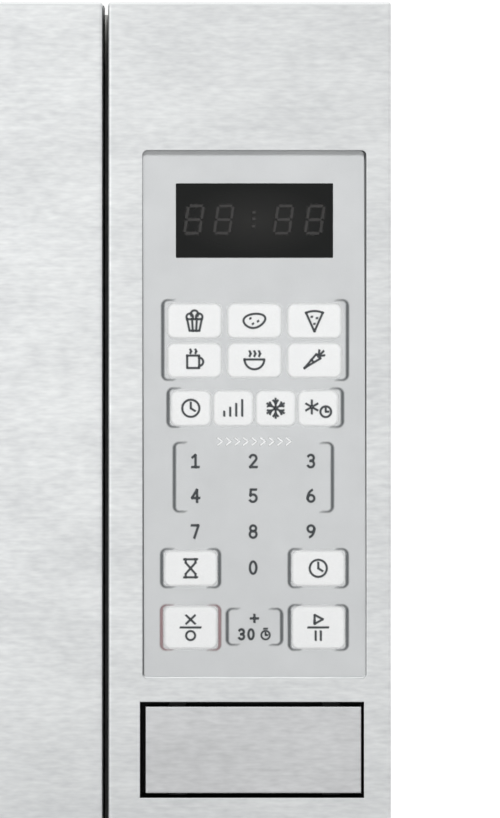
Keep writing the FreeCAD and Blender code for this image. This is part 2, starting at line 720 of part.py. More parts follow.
def coil(name, radius, wire, pitch, axis, span, centre):
    """Coil spring along one axis, wound from four-sided wire in six straight steps a turn."""
    path = doc.addObject("Part::Helix", name + "_path")
    path.setExpression("Radius", formula(radius))
    path.setExpression("Pitch", formula(pitch))
    path.setExpression("Height", formula(f"({span[1]}) - ({span[0]}) - 2 * ({wire})"))
    size = doc.addObject("Part::Circle", name + "_wire")
    size.setExpression("Radius", formula(wire))
    doc.recompute()
    steps = round(6 * path.Height.Value / path.Pitch.Value)
    rings = []
    for step in range(steps + 1):
        outward = FreeCAD.Rotation(V(0, 0, 1), 60 * step).multVec(V(1, 0, 0))
        middle = outward * path.Radius.Value + V(0, 0, path.Height.Value * step / steps)
        corners = [FreeCAD.Rotation(V(0, 0, 1).cross(outward), 90 * k).multVec(outward) for k in range(4)]
        points = [middle + corner * size.Radius.Value for corner in corners]
        rings.append(Part.makePolygon(points + points[:1]))
    spring = doc.addObject("Part::Feature", name)
    spring.Shape = Part.makeLoft(rings, True, True)
    spring.Placement = FreeCAD.Placement(V(0, 0, 0), UPRIGHT[axis])
    spot = list(centre)
    spot.insert("xyz".index(axis), f"{span[0]} + {wire}")
    for letter, text in zip("xyz", spot):
        spring.setExpression("Placement.Base." + letter, formula(text))
    return spring


# Casing.

CASE_X = ("body_left + steel", "body_right - steel")
HOOK_ROOM = ("latch_x - hook_half - hook_clear", "latch_x + hook_half + hook_swing")


def base_plate():
    body = new_body("base_plate")
    pad_box(body, CASE_X, ("plate_back", "case_rear - steel"), ("foot_height", "foot_height + base_flange"))
    floor = sketch(body, "XY", "foot_height + base_flange")
    rectangle(floor, (CASE_X[0] + " + steel", CASE_X[1] + " - steel"),
              ("plate_back + steel", "case_rear - 2 * steel"))
    pocket(body, floor, "base_flange - steel", "-z")
    vents = sketch(body, "XY", "base_top")
    rectangle(vents, around("bay_x - 3.5 * louvre_pitch", "louvre_width / 2"),
              around("can_front", "louvre_length / 2"))
    row(body, pocket(body, vents, "2 * steel", "-z"), "x", 8, "louvre_pitch")
    access = sketch(body, "XY", "base_top")
    circle(access, "tray_x", "tray_y", "motor_radius + access_gap")
    pocket(body, access, "2 * steel", "-z")


def feet():
    spots = [(x, y) for x in ("body_left + foot_inset", "body_right - foot_inset")
             for y in ("plate_back + foot_inset", "case_rear - foot_inset")]
    pads = [rod(f"foot_{i}", "foot_radius - foot_taper", "z", ("0", "foot_height"), spot, "foot_radius")
            for i, spot in enumerate(spots)]
    piece(group("feet_group", pads), "feet")


def outer_cover():
    body = new_body("outer_cover")
    pad_box(body, ("body_left", "body_right"), ("plate_back", "case_rear"), ("foot_height", "body_top"))
    top = sheet.shelf_clearance + sheet.front_height - sheet.top_overlap
    fillet(body, "cover_radius", lambda edge: runs_along(edge, "y") and lies_at(edge, "z", top))
    bead = sketch(body, "XZ", "plate_back + bead_inset")
    first = "-1.5 * bead_pitch"
    polygon(bead, [
        (f"{first} - bead_width / 2", "body_top - steel / 2"),
        (f"{first} + bead_width / 2", "body_top - steel / 2"),
        (f"{first} + bead_width / 2", "body_top"),
        (f"{first} + bead_width / 2 - bead_height", "body_top + bead_height"),
        (f"{first} - bead_width / 2 + bead_height", "body_top + bead_height"),
        (f"{first} - bead_width / 2", "body_top"),
    ])
    length = "case_rear - plate_back - 2 * bead_inset"
    row(body, pad(body, bead, length, "+y"), "x", 4, "bead_pitch")
    pocket_box(body, CASE_X, ("plate_back - past", "case_rear + past"),
               ("foot_height - past", "body_top - steel"))
    for start in ("body_right - 2 * steel", "body_left - steel"):
        slot = sketch(body, "YZ", start)
        rectangle(slot, around("case_rear - side_vent_set", "louvre_width / 2"),
                  around("fan_z + side_vent_rise", "louvre_length / 2"))
        row(body, pocket(body, slot, "3 * steel", "+x"), "y", 10, "louvre_pitch")


def rear_panel():
    body = new_body("rear_panel")
    thickness = ("case_rear - steel", "case_rear")
    pad_box(body, CASE_X, thickness, ("foot_height", "body_top - steel"))
    through = ("case_rear - 2 * steel", "case_rear + steel")
    inlet = pocket_box(body, around("bay_x", "inlet_length / 2"), through,
                       around("fan_z - 4 * louvre_pitch", "louvre_width / 2"))
    row(body, inlet, "z", 9, "louvre_pitch")
    outlet = pocket_box(body, around("tray_x - 5 * louvre_pitch", "louvre_width / 2"), through,
                        around("body_top - outlet_drop", "louvre_length / 3"))
    row(body, outlet, "x", 11, "louvre_pitch")
    gland = sketch(body, "XZ", through[0])
    circle(gland, "gland_x", "gland_z", "gland_radius - gland_step")
    pocket(body, gland, "3 * steel", "+y")


def cord_gland():
    body = new_body("cord_gland")
    collar, neck, bore = "gland_radius", "gland_radius - gland_step", "gland_bore"
    revolve(body, [
        (bore, "-gland_length"), (neck, "-gland_length"), (neck, "0"),
        (collar, "0"), (collar + " - gland_step", "rear_stand"), (bore, "rear_stand"),
    ])
    stand(body, "gland_x", "case_rear", "gland_z")
    body.Placement.Rotation = UPRIGHT["y"]


def front_plate():
    body = new_body("front_plate")
    pad_box(body, ("front_left + plate_inset", "front_right - plate_inset"), ("plate_front", "plate_back"),
            ("shelf_clearance + plate_inset", "front_top - plate_inset"))
    through = ("plate_front - past", "plate_back + past")
    pocket_box(body, ("cavity_left", "cavity_right"), through, ("cavity_floor", "cavity_roof"))
    pocket_box(body, ("panel_left + column_rim", "panel_right - column_rim"), through,
               ("opening_bottom + column_rim", "panel_top - 2 * column_rim"))
    slot = pocket_box(body, HOOK_ROOM, through,
                      ("beak_z - hook_clear", "hook_z + hook_height / 2 + hook_room"))
    row(body, slot, "z", 2, "hook_pitch")
    inner = "body_left + steel + hinge_set"
    neck = pocket_box(body, (inner + " - hinge_clear", inner + " + hinge_neck + hinge_clear"), through,
                      around("hinge_low", "hinge_steel / 2 + hinge_clear"))
    row(body, neck, "z", 2, "hinge_high - hinge_low")
    side = sketch(body, "XZ", through[0])
    circle(side, "(body_left + front_left + plate_inset) / 2", "front_top / 2 - side_hole_pitch / 2",
           "mount_hole_radius")
    row(body, pocket(body, side, "plate_steel + 2 * past", "+y"), "z", 2, "side_hole_pitch")
    top = sketch(body, "XZ", through[0])
    circle(top, "tray_x - top_hole_pitch / 2", "(body_top + front_top - plate_inset) / 2",
           "mount_hole_radius")
    row(body, pocket(body, top, "plate_steel + 2 * past", "+y"), "x", 2, "top_hole_pitch")


def cavity_box():
    body = new_body("cavity_box")
    pad_box(body, ("cavity_left - steel", "cavity_right + steel"), ("plate_back", "cavity_back + steel"),
            ("cavity_floor - steel", "cavity_roof + steel"))
    pocket_box(body, ("cavity_left", "cavity_right"), ("plate_back - past", "cavity_back"),
               ("cavity_floor", "cavity_roof"))
    hub = sketch(body, "XY", "cavity_floor + past")
    circle(hub, "tray_x", "tray_y", "shaft_radius + hub_gap")
    pocket(body, hub, "steel + 2 * past", "-z")
    window = sketch(body, "YZ", "cavity_right - past")
    rectangle(window, around("window_y", "window_width / 2"), around("guide_z", "window_height / 2"))
    pocket(body, window, "steel + 2 * past", "+x")
    light = sketch(body, "YZ", "cavity_right - past")
    for y in (-1, 0, 1):
        for z in (-1, 0, 1):
            rectangle(light, around(f"lamp_y + {y} * lamp_grid", "lamp_hole / 2"),
                      around(f"lamp_z + {z} * lamp_grid", "lamp_hole / 2"))
    pocket(body, light, "steel + 2 * past", "+x")


def hinge(label, level):
    """Steel plate that carries a door pin and is welded behind the front plate."""
    inner = "body_left + steel"
    thick = around(level, "hinge_steel / 2")
    tongue = box(label + "_tongue", ("hinge_x", inner + " + hinge_tongue"),
                 ("hinge_y - hinge_swing", "plate_front"), thick)
    neck = box(label + "_neck", (inner + " + hinge_set", inner + " + hinge_set + hinge_neck"),
               ("plate_front - past", "plate_back + past"), thick)
    leg = box(label + "_leg", (inner + " + past", inner + " + hinge_tongue - past"),
              ("plate_back", "plate_back + hinge_steel"), around(level, "hinge_leg / 2"))
    eye = rod(label + "_eye", "hinge_radius - hook_clear", "z", thick, ("hinge_x", "hinge_y"))
    bore = rod(label + "_bore", "hinge_pin_radius", "z", around(level, "hinge_steel"),
               ("hinge_x", "hinge_y"))
    piece(cut(label + "_cut", fuse(label + "_plate", tongue, neck, leg, eye), bore), label)


def hinge_pins():
    pins = []
    for i, level in enumerate(("hinge_low", "hinge_high")):
        span = around(level, "hinge_pin_length / 2")
        pins.append(rod(f"pin_{i}", "hinge_pin_radius", "z", span, ("hinge_x", "hinge_y")))
    piece(group("pin_group", pins), "hinge_pins")


# Works behind the casing.


def waveguide():
    shell = box("guide_shell", ("bay_left", "guide_right"), around("tray_y", "guide_length / 2"),
                around("guide_z", "guide_height / 2"))
    rim = box("guide_rim", ("bay_left", "bay_left + steel"),
              around("tray_y", "guide_length / 2 + guide_rim"),
              around("guide_z", "guide_height / 2 + guide_rim"))
    hollow = box("guide_hollow", ("bay_left - past", "guide_right - steel"),
                 around("tray_y", "guide_length / 2 - steel"),
                 around("guide_z", "guide_height / 2 - steel"))
    port = rod("guide_port", "antenna_radius + port_gap", "x",
               ("guide_right - steel - past", "guide_right + past"),
               ("tube_y", "guide_z"))
    piece(cut("guide_cut", fuse("guide_solid", shell, rim), hollow, port), "waveguide")


def waveguide_cover():
    body = new_body("waveguide_cover")
    outline = sketch(body, "YZ", "cavity_right - mica")
    rectangle(outline, around("window_y", "window_width / 2 + mica_lap"),
              around("guide_z", "window_height / 2 + mica_lap"))
    pad(body, outline, "mica", "+x")
    fillet(body, "mica_corner", lambda edge: runs_along(edge, "x"))


def magnetron():
    spot = ("tube_y", "guide_z")
    hole = "antenna_radius + antenna_gap"
    low, high = "guide_right + yoke_steel", "yoke_right - yoke_steel"
    frame = box("yoke_frame", ("guide_right", "yoke_right"), around("tube_y", "yoke_width / 2"),
                around("guide_z", "yoke_height / 2"))
    inside = box("yoke_inside", (low, high), around("tube_y", "yoke_width / 2 + past"),
                 around("guide_z", "yoke_height / 2 - yoke_steel"))
    port = rod("yoke_port", hole, "x", ("guide_right - past", low + " + past"), spot)
    piece(cut("yoke_cut", frame, inside, port), "magnetron_yoke")

    rings = []
    for i, (near, far) in enumerate(((low, low + " + magnet_thick"), (high + " - magnet_thick", high))):
        ring = rod(f"magnet_{i}", "magnet_radius", "x", (near, far), spot)
        bore = rod(f"magnet_bore_{i}", hole, "x", (near + " - past", far + " + past"), spot)
        rings.append(cut(f"magnet_ring_{i}", ring, bore))
    piece(group("magnet_group", rings), "magnetron_magnets")

    body = new_body("magnetron_anode")
    start, end = f"{low} + magnet_thick", f"{high} - magnet_thick"
    barrel = sketch(body, "YZ", start)
    polygon(barrel, [(f"tube_y + anode_radius * cos({30 * i})", f"guide_z + anode_radius * sin({30 * i})")
                     for i in range(12)])
    pad(body, barrel, f"{end} - ({start})", "+x")
    fin = sketch(body, "YZ", f"{start} + fin_gap")
    rectangle(fin, around("tube_y", "yoke_width / 2 - fin_inset"),
              around("guide_z", "yoke_height / 2 - yoke_steel"))
    row(body, pad(body, fin, "fin_thick", "+x"), "x", 7,
        f"({end} - ({start}) - 2 * fin_gap - fin_thick) / 6")

    neck = "guide_right - antenna_neck"
    stem = rod("antenna_stem", "antenna_radius", "x", (neck, start), spot)
    cap = rod("antenna_cap", "antenna_radius - antenna_step", "x", ("guide_right - antenna_length", neck),
              spot)
    piece(fuse("antenna_fuse", stem, cap), "magnetron_antenna")

    case = box("filter_case", ("yoke_right", "yoke_right + filter_length"),
               around("tube_y", "filter_width / 2"),
               around("guide_z", "filter_height / 2"))
    under = "guide_z - filter_height / 2"
    plug = box("filter_plug", ("yoke_right + plug_inset", "yoke_right + filter_length - plug_inset"),
               around("tube_y", "plug_width / 2"), (under + " - plug_drop", under))
    piece(fuse("filter_fuse", case, plug), "magnetron_filter_box")


def transformer():
    body = new_body("transformer_core")
    top = "base_top + core_height"
    pad_box(body, around("bay_x", "core_width / 2"), ("core_front", "core_rear"), ("base_top", top))
    slot = "core_width / 2 - 2 * core_leg"
    half = "core_height / 2 - core_leg"
    through = ("core_front - past", "core_rear + past")
    for side in ("bay_x - core_width / 2 + core_leg", "bay_x + core_leg"):
        pocket_box(body, (side, f"{side} + {slot}"), through, around("coil_z", half))
    weld = pocket_box(body, around("bay_x - core_width / 4", "weld_width / 2"), through,
                      (top + " - weld_depth", top + " + past"))
    row(body, weld, "x", 2, "core_width / 2")

    coils = []
    spans = (f"coil_z - ({half})", "coil_z - coil_gap / 2"), ("coil_z + coil_gap / 2", f"coil_z + {half}")
    for i, span in enumerate(spans):
        outer = box(f"coil_outer_{i}", around("bay_x", f"core_leg + {slot} - fit"),
                    ("core_front - coil_out", "core_rear + coil_out"), span)
        inner = box(f"coil_inner_{i}", around("bay_x", "core_leg"), ("core_front", "core_rear"),
                    around("coil_z", "core_height"))
        coils.append(cut(f"coil_{i}", outer, inner))
    piece(group("coil_group", coils), "transformer_coils")


def stadium(name, extra, z):
    """Flat-sided can with round ends."""
    half = "(can_width - can_thick) / 2"
    middle = "can_front + can_thick / 2"
    block = box(name + "_block", around("can_x", half), around(middle, f"can_thick / 2 + {extra}"), z)
    ends = [rod(f"{name}_end_{i}", f"can_thick / 2 + {extra}", "z", z, (f"can_x {sign} {half}", middle))
            for i, sign in enumerate("-+")]
    return fuse(name, block, *ends)


def capacitor():
    top = "base_top + can_height"
    middle = "can_front + can_thick / 2"
    can = stadium("can_wall", "0", ("base_top", top))
    posts = [rod(f"can_post_{i}", "post_radius", "z", (top + " - past", top + " + post_height"),
                 (f"can_x {sign} post_pitch / 2", middle)) for i, sign in enumerate("-+")]
    piece(fuse("can_fuse", can, *posts), "hv_capacitor")
    band = ("base_top + band_rise", "base_top + band_rise + band_width")
    ring = cut("band_ring", stadium("band_outer", "steel", band),
               stadium("band_inner", "0", ("base_top", top)))
    foot = box("band_foot", around("can_x", "band_foot / 2"),
               ("can_front + can_thick", "can_front + can_thick + steel"), ("base_top", band[1]))
    piece(fuse("clamp_fuse", ring, foot), "capacitor_clamp")
    line = "can_front - diode_set"
    lead = rod("diode_body", "diode_radius", "x", around("can_x", "diode_length / 2"),
               (line, "base_top + diode_radius"))
    lugs = box("diode_lugs", around("can_x", "lug_length / 2"), around(line, "lug_width / 2"),
               ("base_top", "base_top + tab_thick"))
    piece(fuse("diode_fuse", lead, lugs), "hv_diode")


def fan_shroud():
    centre = ("bay_x", "fan_z")
    wide = around("bay_x", "fan_radius + shroud_margin")
    behind = "shroud_y + shroud_thick"
    plate = box("shroud_plate", wide, ("shroud_y", behind),
                ("base_top", "fan_z + fan_radius + shroud_margin"))
    foot = box("shroud_foot", wide, ("shroud_y", "shroud_y + shroud_lip"),
               ("base_top", "base_top + shroud_thick"))
    ring = rod("shroud_ring", "fan_radius + fan_gap + shroud_thick", "y",
               ("shroud_y - shroud_lip", behind), centre)
    throat = rod("shroud_throat", "fan_radius + fan_gap", "y",
                 ("shroud_y - shroud_lip - past", behind + " + past"), centre)
    venturi = cut("shroud_venturi", fuse("shroud_block", plate, ring, foot), throat)
    arms = []
    for i, sign in enumerate("-+"):
        strut = f"bay_x {sign} (fan_radius + strut_set)"
        ends = [f"bay_x {sign} stack_width / 2", strut]
        if sign == "-":
            ends.reverse()
        arms.append(box(f"shroud_strut_{i}", around(strut, "strut_width / 2"), ("motor_y", behind),
                        around("fan_z", "arm_height / 2")))
        arms.append(box(f"shroud_arm_{i}", ends, ("motor_y", "motor_y + arm_thick"),
                        around("fan_z", "arm_height / 2")))
    piece(fuse("shroud_solid", venturi, *arms), "fan_shroud")


def fan_motor():
    centre = ("bay_x", "fan_z")
    span = ("motor_y - stack_front - winding_out", "motor_y + stack_rear + winding_out")
    under = "fan_z - stack_height / 2"
    stack = box("motor_stack", around("bay_x", "stack_width / 2"),
                ("motor_y - stack_front", "motor_y + stack_rear"),
                around("fan_z", "stack_height / 2"))
    winding = box("motor_winding", around("bay_x", "winding_width / 2"), span,
                  (under + " - winding_height", under))
    bearing = rod("motor_bearing", "bearing_radius", "y", span, centre)
    bore = rod("motor_bore", "fan_shaft + running", "y", ("motor_y - stack_front", span[1] + " + past"),
               centre)
    piece(cut("motor_cut", fuse("motor_fuse", stack, winding, bearing), bore), "fan_motor")


def fan_blade():
    body = new_body("fan_blade")
    hub = sketch(body, "XZ", "-fan_depth / 2")
    circle(hub, "0", "0", "fan_hub")
    pad(body, hub, "fan_depth", "+y")
    shaft = sketch(body, "XZ", "fan_set - fan_motor_set - shaft_end")
    circle(shaft, "0", "0", "fan_shaft")
    pad(body, shaft, "fan_motor_set", "+y")
    profiles = []
    for reach, chord, pitch in (("fan_hub - blade_sink", "blade_root", 38),
                                ("fan_radius", "blade_tip", 24)):
        profile = sketch(body, "YZ", reach)
        profile.AttachmentOffset = FreeCAD.Placement(V(0, 0, 0), FreeCAD.Rotation(V(0, 0, 1), pitch))
        rectangle(profile, (f"-{chord} / 2", f"{chord} / 2"), ("-blade_thick / 2", "blade_thick / 2"))
        profiles.append(profile)
    blade = body.newObject("PartDesign::AdditiveLoft", "fan_blade_loft")
    blade.Profile = profiles[0]
    blade.Sections = [profiles[1]]
    blade.Ruled = True
    star(body, blade, "y", 6)
    stand(body, "bay_x", "shroud_y - fan_set", "fan_z")


def turntable_motor():
    centre = ("tray_x", "tray_y")
    puck = rod("motor_puck", "motor_radius", "z", ("motor_top - motor_height", "motor_top"), centre)
    ears = box("motor_ears", around("tray_x", "motor_radius + motor_ear"),
               around("tray_y", "ear_width / 2"),
               ("motor_top - ear_steel", "motor_top"))
    well = rod("motor_well", "shaft_radius + running", "z",
               ("motor_top - shaft_depth - past", "motor_top + past"),
               centre)
    piece(cut("turntable_cut", fuse("turntable_fuse", puck, ears), well), "turntable_motor")


def oven_lamp():
    spot = ("lamp_y", "lamp_z")
    back = "bay_left + lamp_depth - lamp_wall"
    shell = box("lamp_shell", ("bay_left", "bay_left + lamp_depth"), around("lamp_y", "lamp_case"),
                around("lamp_z", "lamp_case"))
    hollow = box("lamp_hollow", ("bay_left - past", back), around("lamp_y", "lamp_case - lamp_wall"),
                 around("lamp_z", "lamp_case - lamp_wall"))
    piece(cut("lamp_cut", shell, hollow), "lamp_holder")
    neck = "bay_left + bulb_set + bulb_length"
    bulb = rod("bulb_glass", "lamp_radius", "x", ("bay_left + bulb_set", neck), spot)
    base = rod("bulb_base", "bulb_base", "x", (neck, back), spot)
    piece(fuse("bulb_fuse", bulb, base), "lamp_bulb")


def thermostat():
    line = "guide_rear + thermostat_set"
    back = "bay_left + thermostat_depth"
    disc = rod("thermostat_disc", "thermostat_radius", "x", ("bay_left", back), (line, "lamp_z"))
    tabs = box("thermostat_tabs", (back, back + " + tab_length"), around(line, "tab_width / 2"),
               around("lamp_z", "tab_thick / 2"))
    piece(fuse("thermostat_fuse", disc, tabs), "thermostat")


def noise_filter():
    line = "case_rear - noise_set"
    roof = "body_top - steel"
    under = f"{roof} - noise_drop"
    card = box("filter_card", around("bay_x", "noise_width / 2"), around(line, "noise_depth / 2"),
               (under, under + " + card_thick"))
    studs = [box(f"filter_stud_{i}", around(f"bay_x {sign} stud_pitch / 2", "stud_width / 2"),
                 around(line, "stud_depth / 2"), (under, roof)) for i, sign in enumerate("-+")]
    choke = box("filter_choke", around("bay_x", "choke_width / 2"), around(line, "choke_thick / 2"),
                (under + " - choke_height", under))
    piece(fuse("filter_board", card, choke, *studs), "noise_filter")


# Latch, lever and interlocks.

WEB_X = ("latch_x - hook_half - hook_clear - wall", "latch_x - hook_half - hook_clear")


def latch_body():
    tall = ("lever_z - latch_foot", "bar_top + latch_head")
    edge = "latch_x + flange_right"
    through = ("plate_back - past", "plate_back + wall + past")
    flange = box("latch_flange", ("latch_x - flange_left", edge), ("plate_back", "plate_back + wall"), tall)
    web = box("latch_web", WEB_X, ("plate_back", "hook_tip + web_reach"), tall)
    ear = box("latch_ear", (edge + " - ear_thick", edge), ("plate_back", "lever_y + ear_half"),
              around("lever_z", "ear_half"))
    keepers, windows = [], []
    for i in range(2):
        rest = f"beak_z - fit + {i} * hook_pitch"
        keepers.append(box(f"keeper_{i}", (WEB_X[0], "latch_x - lift_edge"),
                           ("plate_back", "beak_front - past"),
                           (rest + " - keeper_thick", rest)))
        windows.append(box(f"latch_window_{i}", HOOK_ROOM, through,
                           (rest, f"hook_z + hook_height / 2 + hook_room + {i} * hook_pitch")))
    bearing = rod("latch_bearing", "lever_radius + running", "x",
                  ("latch_x - flange_left", edge + " + past"),
                  ("lever_y", "lever_z"))
    gate = box("lever_gate", ("latch_x + lift_edge - fit", "latch_x + hook_half + 2 * fit"), through,
               around("lever_z", "lever_radius + past"))
    solid = fuse("latch_fuse", flange, web, ear, *keepers)
    piece(cut("latch_cut", solid, *windows, bearing, gate), "latch_body")


def interlock_switches():
    switches = []
    for i in range(3):
        level = f"hook_z + {i} * hook_pitch / 2"
        front = "hook_tip + switch_set"
        case = box(f"switch_case_{i}", (WEB_X[1], "latch_x + switch_edge"),
                   (front, front + " + switch_length"),
                   around(level, "switch_height / 2"))
        pin = box(f"switch_pin_{i}", around("latch_x", "plunger / 2"),
                  ("hook_tip + fit", front + " + past"),
                  around(level, "plunger / 2"))
        switches.append(fuse(f"switch_{i}", case, pin))
    piece(group("switch_group", switches), "interlock_switches")


def latch_hooks():
    body = new_body("latch_hooks")
    thick = around("latch_x", "hook_half")
    pad_box(body, thick, ("bar_front", "bar_back"), ("hook_z - bar_foot", "bar_top"))
    arm = sketch(body, "YZ", thick[0])
    low, high = "hook_z - hook_height / 2", "hook_z + hook_height / 2"
    polygon(arm, [
        ("bar_back - past", low), ("beak_front", low), ("beak_front", "beak_z"),
        ("hook_tip - nose", "beak_z"), ("hook_tip", "beak_z + nose"), ("hook_tip", high + " - nose"),
        ("hook_tip - nose", high), ("bar_back - past", high),
    ])
    row(body, pad(body, arm, "2 * hook_half", "+x"), "z", 2, "hook_pitch")


def release_lever():
    tail = around("push_x", "pusher / 2")
    shaft = rod("lever_shaft", "lever_radius", "x", (WEB_X[0], tail[1]), ("lever_y", "lever_z"))
    lift = box("lever_lift", ("latch_x + lift_edge", "latch_x + hook_half"),
               ("lever_y - lever_radius", "hook_tip - past"), ("lever_z - lever_radius", "beak_z - fit"))
    fall = box("lever_fall", tail, around("lever_y", "lever_radius"), ("button_z", "lever_z"))
    toe = rod("lever_toe", "toe_radius", "x", tail, ("push_end + fit + toe_radius", "button_z"))
    piece(fuse("lever_fuse", shaft, lift, fall, toe), "release_lever")


# Control column.

COLUMN = ("column_left", "front_right"), ("shelf_clearance", "front_top")
PANEL = ("panel_left", "panel_right"), ("panel_bottom", "panel_top")
OPENING = ("opening_left", "opening_right"), ("opening_bottom", "opening_top")


def grown(span, margin):
    """Pair of planes moved apart by a margin, or together by a negative one."""
    return f"{span[0]} - ({margin})", f"{span[1]} + ({margin})"


def folded_skin(label, outline, openings, corner=None):
    """Brushed steel pan with folded edges and cut openings; the first opening can have round corners."""
    x, z = outline
    body = new_body(label)
    pad_box(body, x, ("front_y", "skin_back"), z)
    rear = -sheet.total_depth / 2 + sheet.skin_return
    fillet(body, "skin_radius", lambda edge: not lies_at(edge, "y", rear))
    pocket_box(body, grown(x, "-steel"), ("front_y + steel", "skin_back + past"), grown(z, "-steel"))
    for number, (wide, tall) in enumerate(openings):
        pocket_box(body, wide, ("front_y - past", "front_y + 2 * steel"), tall)
        if corner and number == 0:
            fillet(body, corner, lambda edge: abs(edge.Length - sheet.steel) < 0.01 and runs_along(edge, "y"))
    front = -sheet.total_depth / 2
    inside = []
    doc.recompute()
    for face in body.Tip.Shape.Faces:
        if abs(face.BoundBox.YMin - front) < 0.01 and abs(face.BoundBox.YMax - front) < 0.01:
            inside = [edge for wire in face.Wires if not wire.isSame(face.OuterWire) for edge in wire.Edges]
    fillet(body, "steel * 0.45", lambda edge: any(edge.isSame(other) for other in inside))
    return body


def control_housing():
    body = new_body("control_housing")
    inside = grown(COLUMN[0], "-steel"), grown(COLUMN[1], "-steel")
    pad_box(body, COLUMN[0], ("skin_back", "plate_front"), COLUMN[1])
    pad_box(body, inside[0], ("overlay_back", "skin_back"), inside[1])
    pocket_box(body, grown(inside[0], "-wall"), ("carrier_back", "plate_front + past"),
               grown(inside[1], "-wall"))
    pad_box(body, grown(PANEL[0], "wall"), ("front_y + steel", "carrier_back"), grown(PANEL[1], "wall"))
    pocket_box(body, PANEL[0], ("front_y", "overlay_back"), PANEL[1])
    pocket_box(body, around("panel_x", "display_width / 2 - lens_seat"),
               ("overlay_back - past", "carrier_back + past"),
               ("display_bottom + lens_seat", "display_top - lens_seat"))
    pad_box(body, grown(OPENING[0], "wall"), ("front_y + steel", "shelf_back"), grown(OPENING[1], "wall"))
    pocket_box(body, OPENING[0], ("front_y", "shelf_front"), OPENING[1])
    pocket_box(body, around("push_x", "pusher / 2 + past"), ("shelf_front - past", "shelf_back + past"),
               around("button_z", "pusher / 2 + past"))
    for level in ("panel_bottom + post_inset", "panel_top - post_inset"):
        post = pad_box(body, around("panel_left + post_inset", "board_post / 2"),
                       ("carrier_back - past", "board_front"), around(level, "board_post / 2"))
        row(body, post, "x", 2, "panel_width - 2 * post_inset")


def display():
    lens = box("lens_block", around("panel_x", "display_width / 2 - fit / 2"),
               ("overlay_front + lens_drop", "overlay_back"),
               ("display_bottom + fit / 2", "display_top - fit / 2"))
    piece(lens, "display_lens")
    inset = "lens_seat + past"
    module = box("module_block", around("panel_x", f"display_width / 2 - ({inset})"),
                 ("overlay_back + fit", "board_front"),
                 (f"display_bottom + {inset}", f"display_top - ({inset})"))
    piece(module, "display_module")


def control_board():
    board = new_body("control_board")
    pad_box(board, grown(PANEL[0], "-board_inset"), ("board_front", "board_back"),
            grown(PANEL[1], "-board_inset"))
    fillet(board, "board_corner", lambda edge: runs_along(edge, "y"))

    def block(name, kind, x, z):
        return box(name, around(x, f"{kind}_width / 2"), ("board_back", f"board_back + {kind}_depth"),
                   around(z, f"{kind}_height / 2"))

    parts = [
        block("relay_0", "relay", "panel_x - relay_left", "panel_bottom + relay_rise"),
        block("relay_1", "relay", "panel_x - relay_left + relay_pitch", "panel_bottom + relay_rise"),
        block("supply", "supply", "panel_x + supply_right", "panel_bottom + supply_rise"),
        block("chip", "chip", "panel_x", "panel_bottom + chip_rise"),
        block("socket", "socket", "panel_x - socket_left", "panel_top - socket_drop"),
    ]
    for i in range(2):
        spot = (f"panel_x + reservoir_right + {i} * reservoir_pitch", "panel_bottom + reservoir_rise")
        parts.append(rod(f"reservoir_{i}", "reservoir_radius", "y",
                         ("board_back", "board_back + reservoir_depth"), spot))
    piece(group("component_group", parts), "board_components")


def keypad_overlay():
    body = new_body("keypad_overlay")
    pad_box(body, grown(PANEL[0], "-panel_gap"), ("overlay_front", "overlay_back"),
            grown(PANEL[1], "-panel_gap"))
    keys = sketch(body, "XZ", "overlay_front")

    def key(across, drop, width, height):
        rectangle(keys, around(f"panel_x + {across}", f"{width} / 2"),
                  around(f"panel_top - ({drop})", f"{height} / 2"))

    for column in (-1, 0, 1):
        for line in (0, 1):
            key(f"{column} * preset_pitch", f"preset_drop + {line} * preset_rise", "preset_width",
                "preset_height")
    for column in (-1.5, -0.5, 0.5, 1.5):
        key(f"{column} * function_pitch", "function_drop", "function_width", "function_height")
    for column in (-1, 1):
        key(f"{column} * side_key_pitch", "side_key_drop", "side_key_width", "side_key_height")
        key(f"{column} * side_key_pitch", "start_drop", "side_key_width", "start_height")
    pad(body, keys, "emboss", "-y")
    front = -sheet.total_depth / 2 + sheet.panel_recess
    dress(body, "Chamfer", "key_corner",
          lambda edge: runs_along(edge, "y") and edge.BoundBox.YMax < front + 0.01)
    pocket_box(body, around("panel_x", "display_width / 2"),
               ("overlay_front - past", "overlay_back + past"),
               ("display_bottom", "display_top"))


def release_button():
    wide = ("opening_left + button_left_gap", "opening_right - button_right_gap")
    tall = ("opening_bottom + button_gap", "opening_top - button_gap")
    behind = "button_front + cap_thick"
    cap = new_body("button_cap")
    pad_box(cap, wide, ("button_front", behind), tall)
    front = -sheet.total_depth / 2 + sheet.button_recess
    fillet(cap, "cap_edge", lambda edge: lies_at(edge, "y", front))

    body = new_body("button_body")
    inset = grown(wide, "-cap_lip"), grown(tall, "-cap_lip")
    pad_box(body, inset[0], (behind, "button_back"), inset[1])
    pocket_box(body, grown(inset[0], "-button_wall"), (behind + " + button_wall", "button_back + past"),
               grown(inset[1], "-button_wall"))
    pad_box(body, around("push_x", "pusher / 2"), (behind + " + past", "push_end"),
            around("button_z", "pusher / 2"))
    long = ("button_back - rib_length", "button_back")
    for across in ("panel_x - rib_pitch / 2", "panel_x + rib_pitch / 2"):
        thick = around(across, "rib_width / 2")
        pad_box(body, thick, long, ("opening_bottom + rib_gap", tall[0] + " + cap_lip + past"))
        pad_box(body, thick, long, (tall[1] + " - cap_lip - past", "opening_top - rib_gap"))

    springs = [coil(f"button_spring_{i}", "spring_radius", "spring_wire", "spring_pitch", "y",
                    (behind + " + button_wall", "shelf_front"), (f"panel_x {across}", "button_z"))
               for i, across in enumerate(("- spring_left", "+ spring_right"))]
    piece(group("spring_group", springs), "button_springs")


# Door.

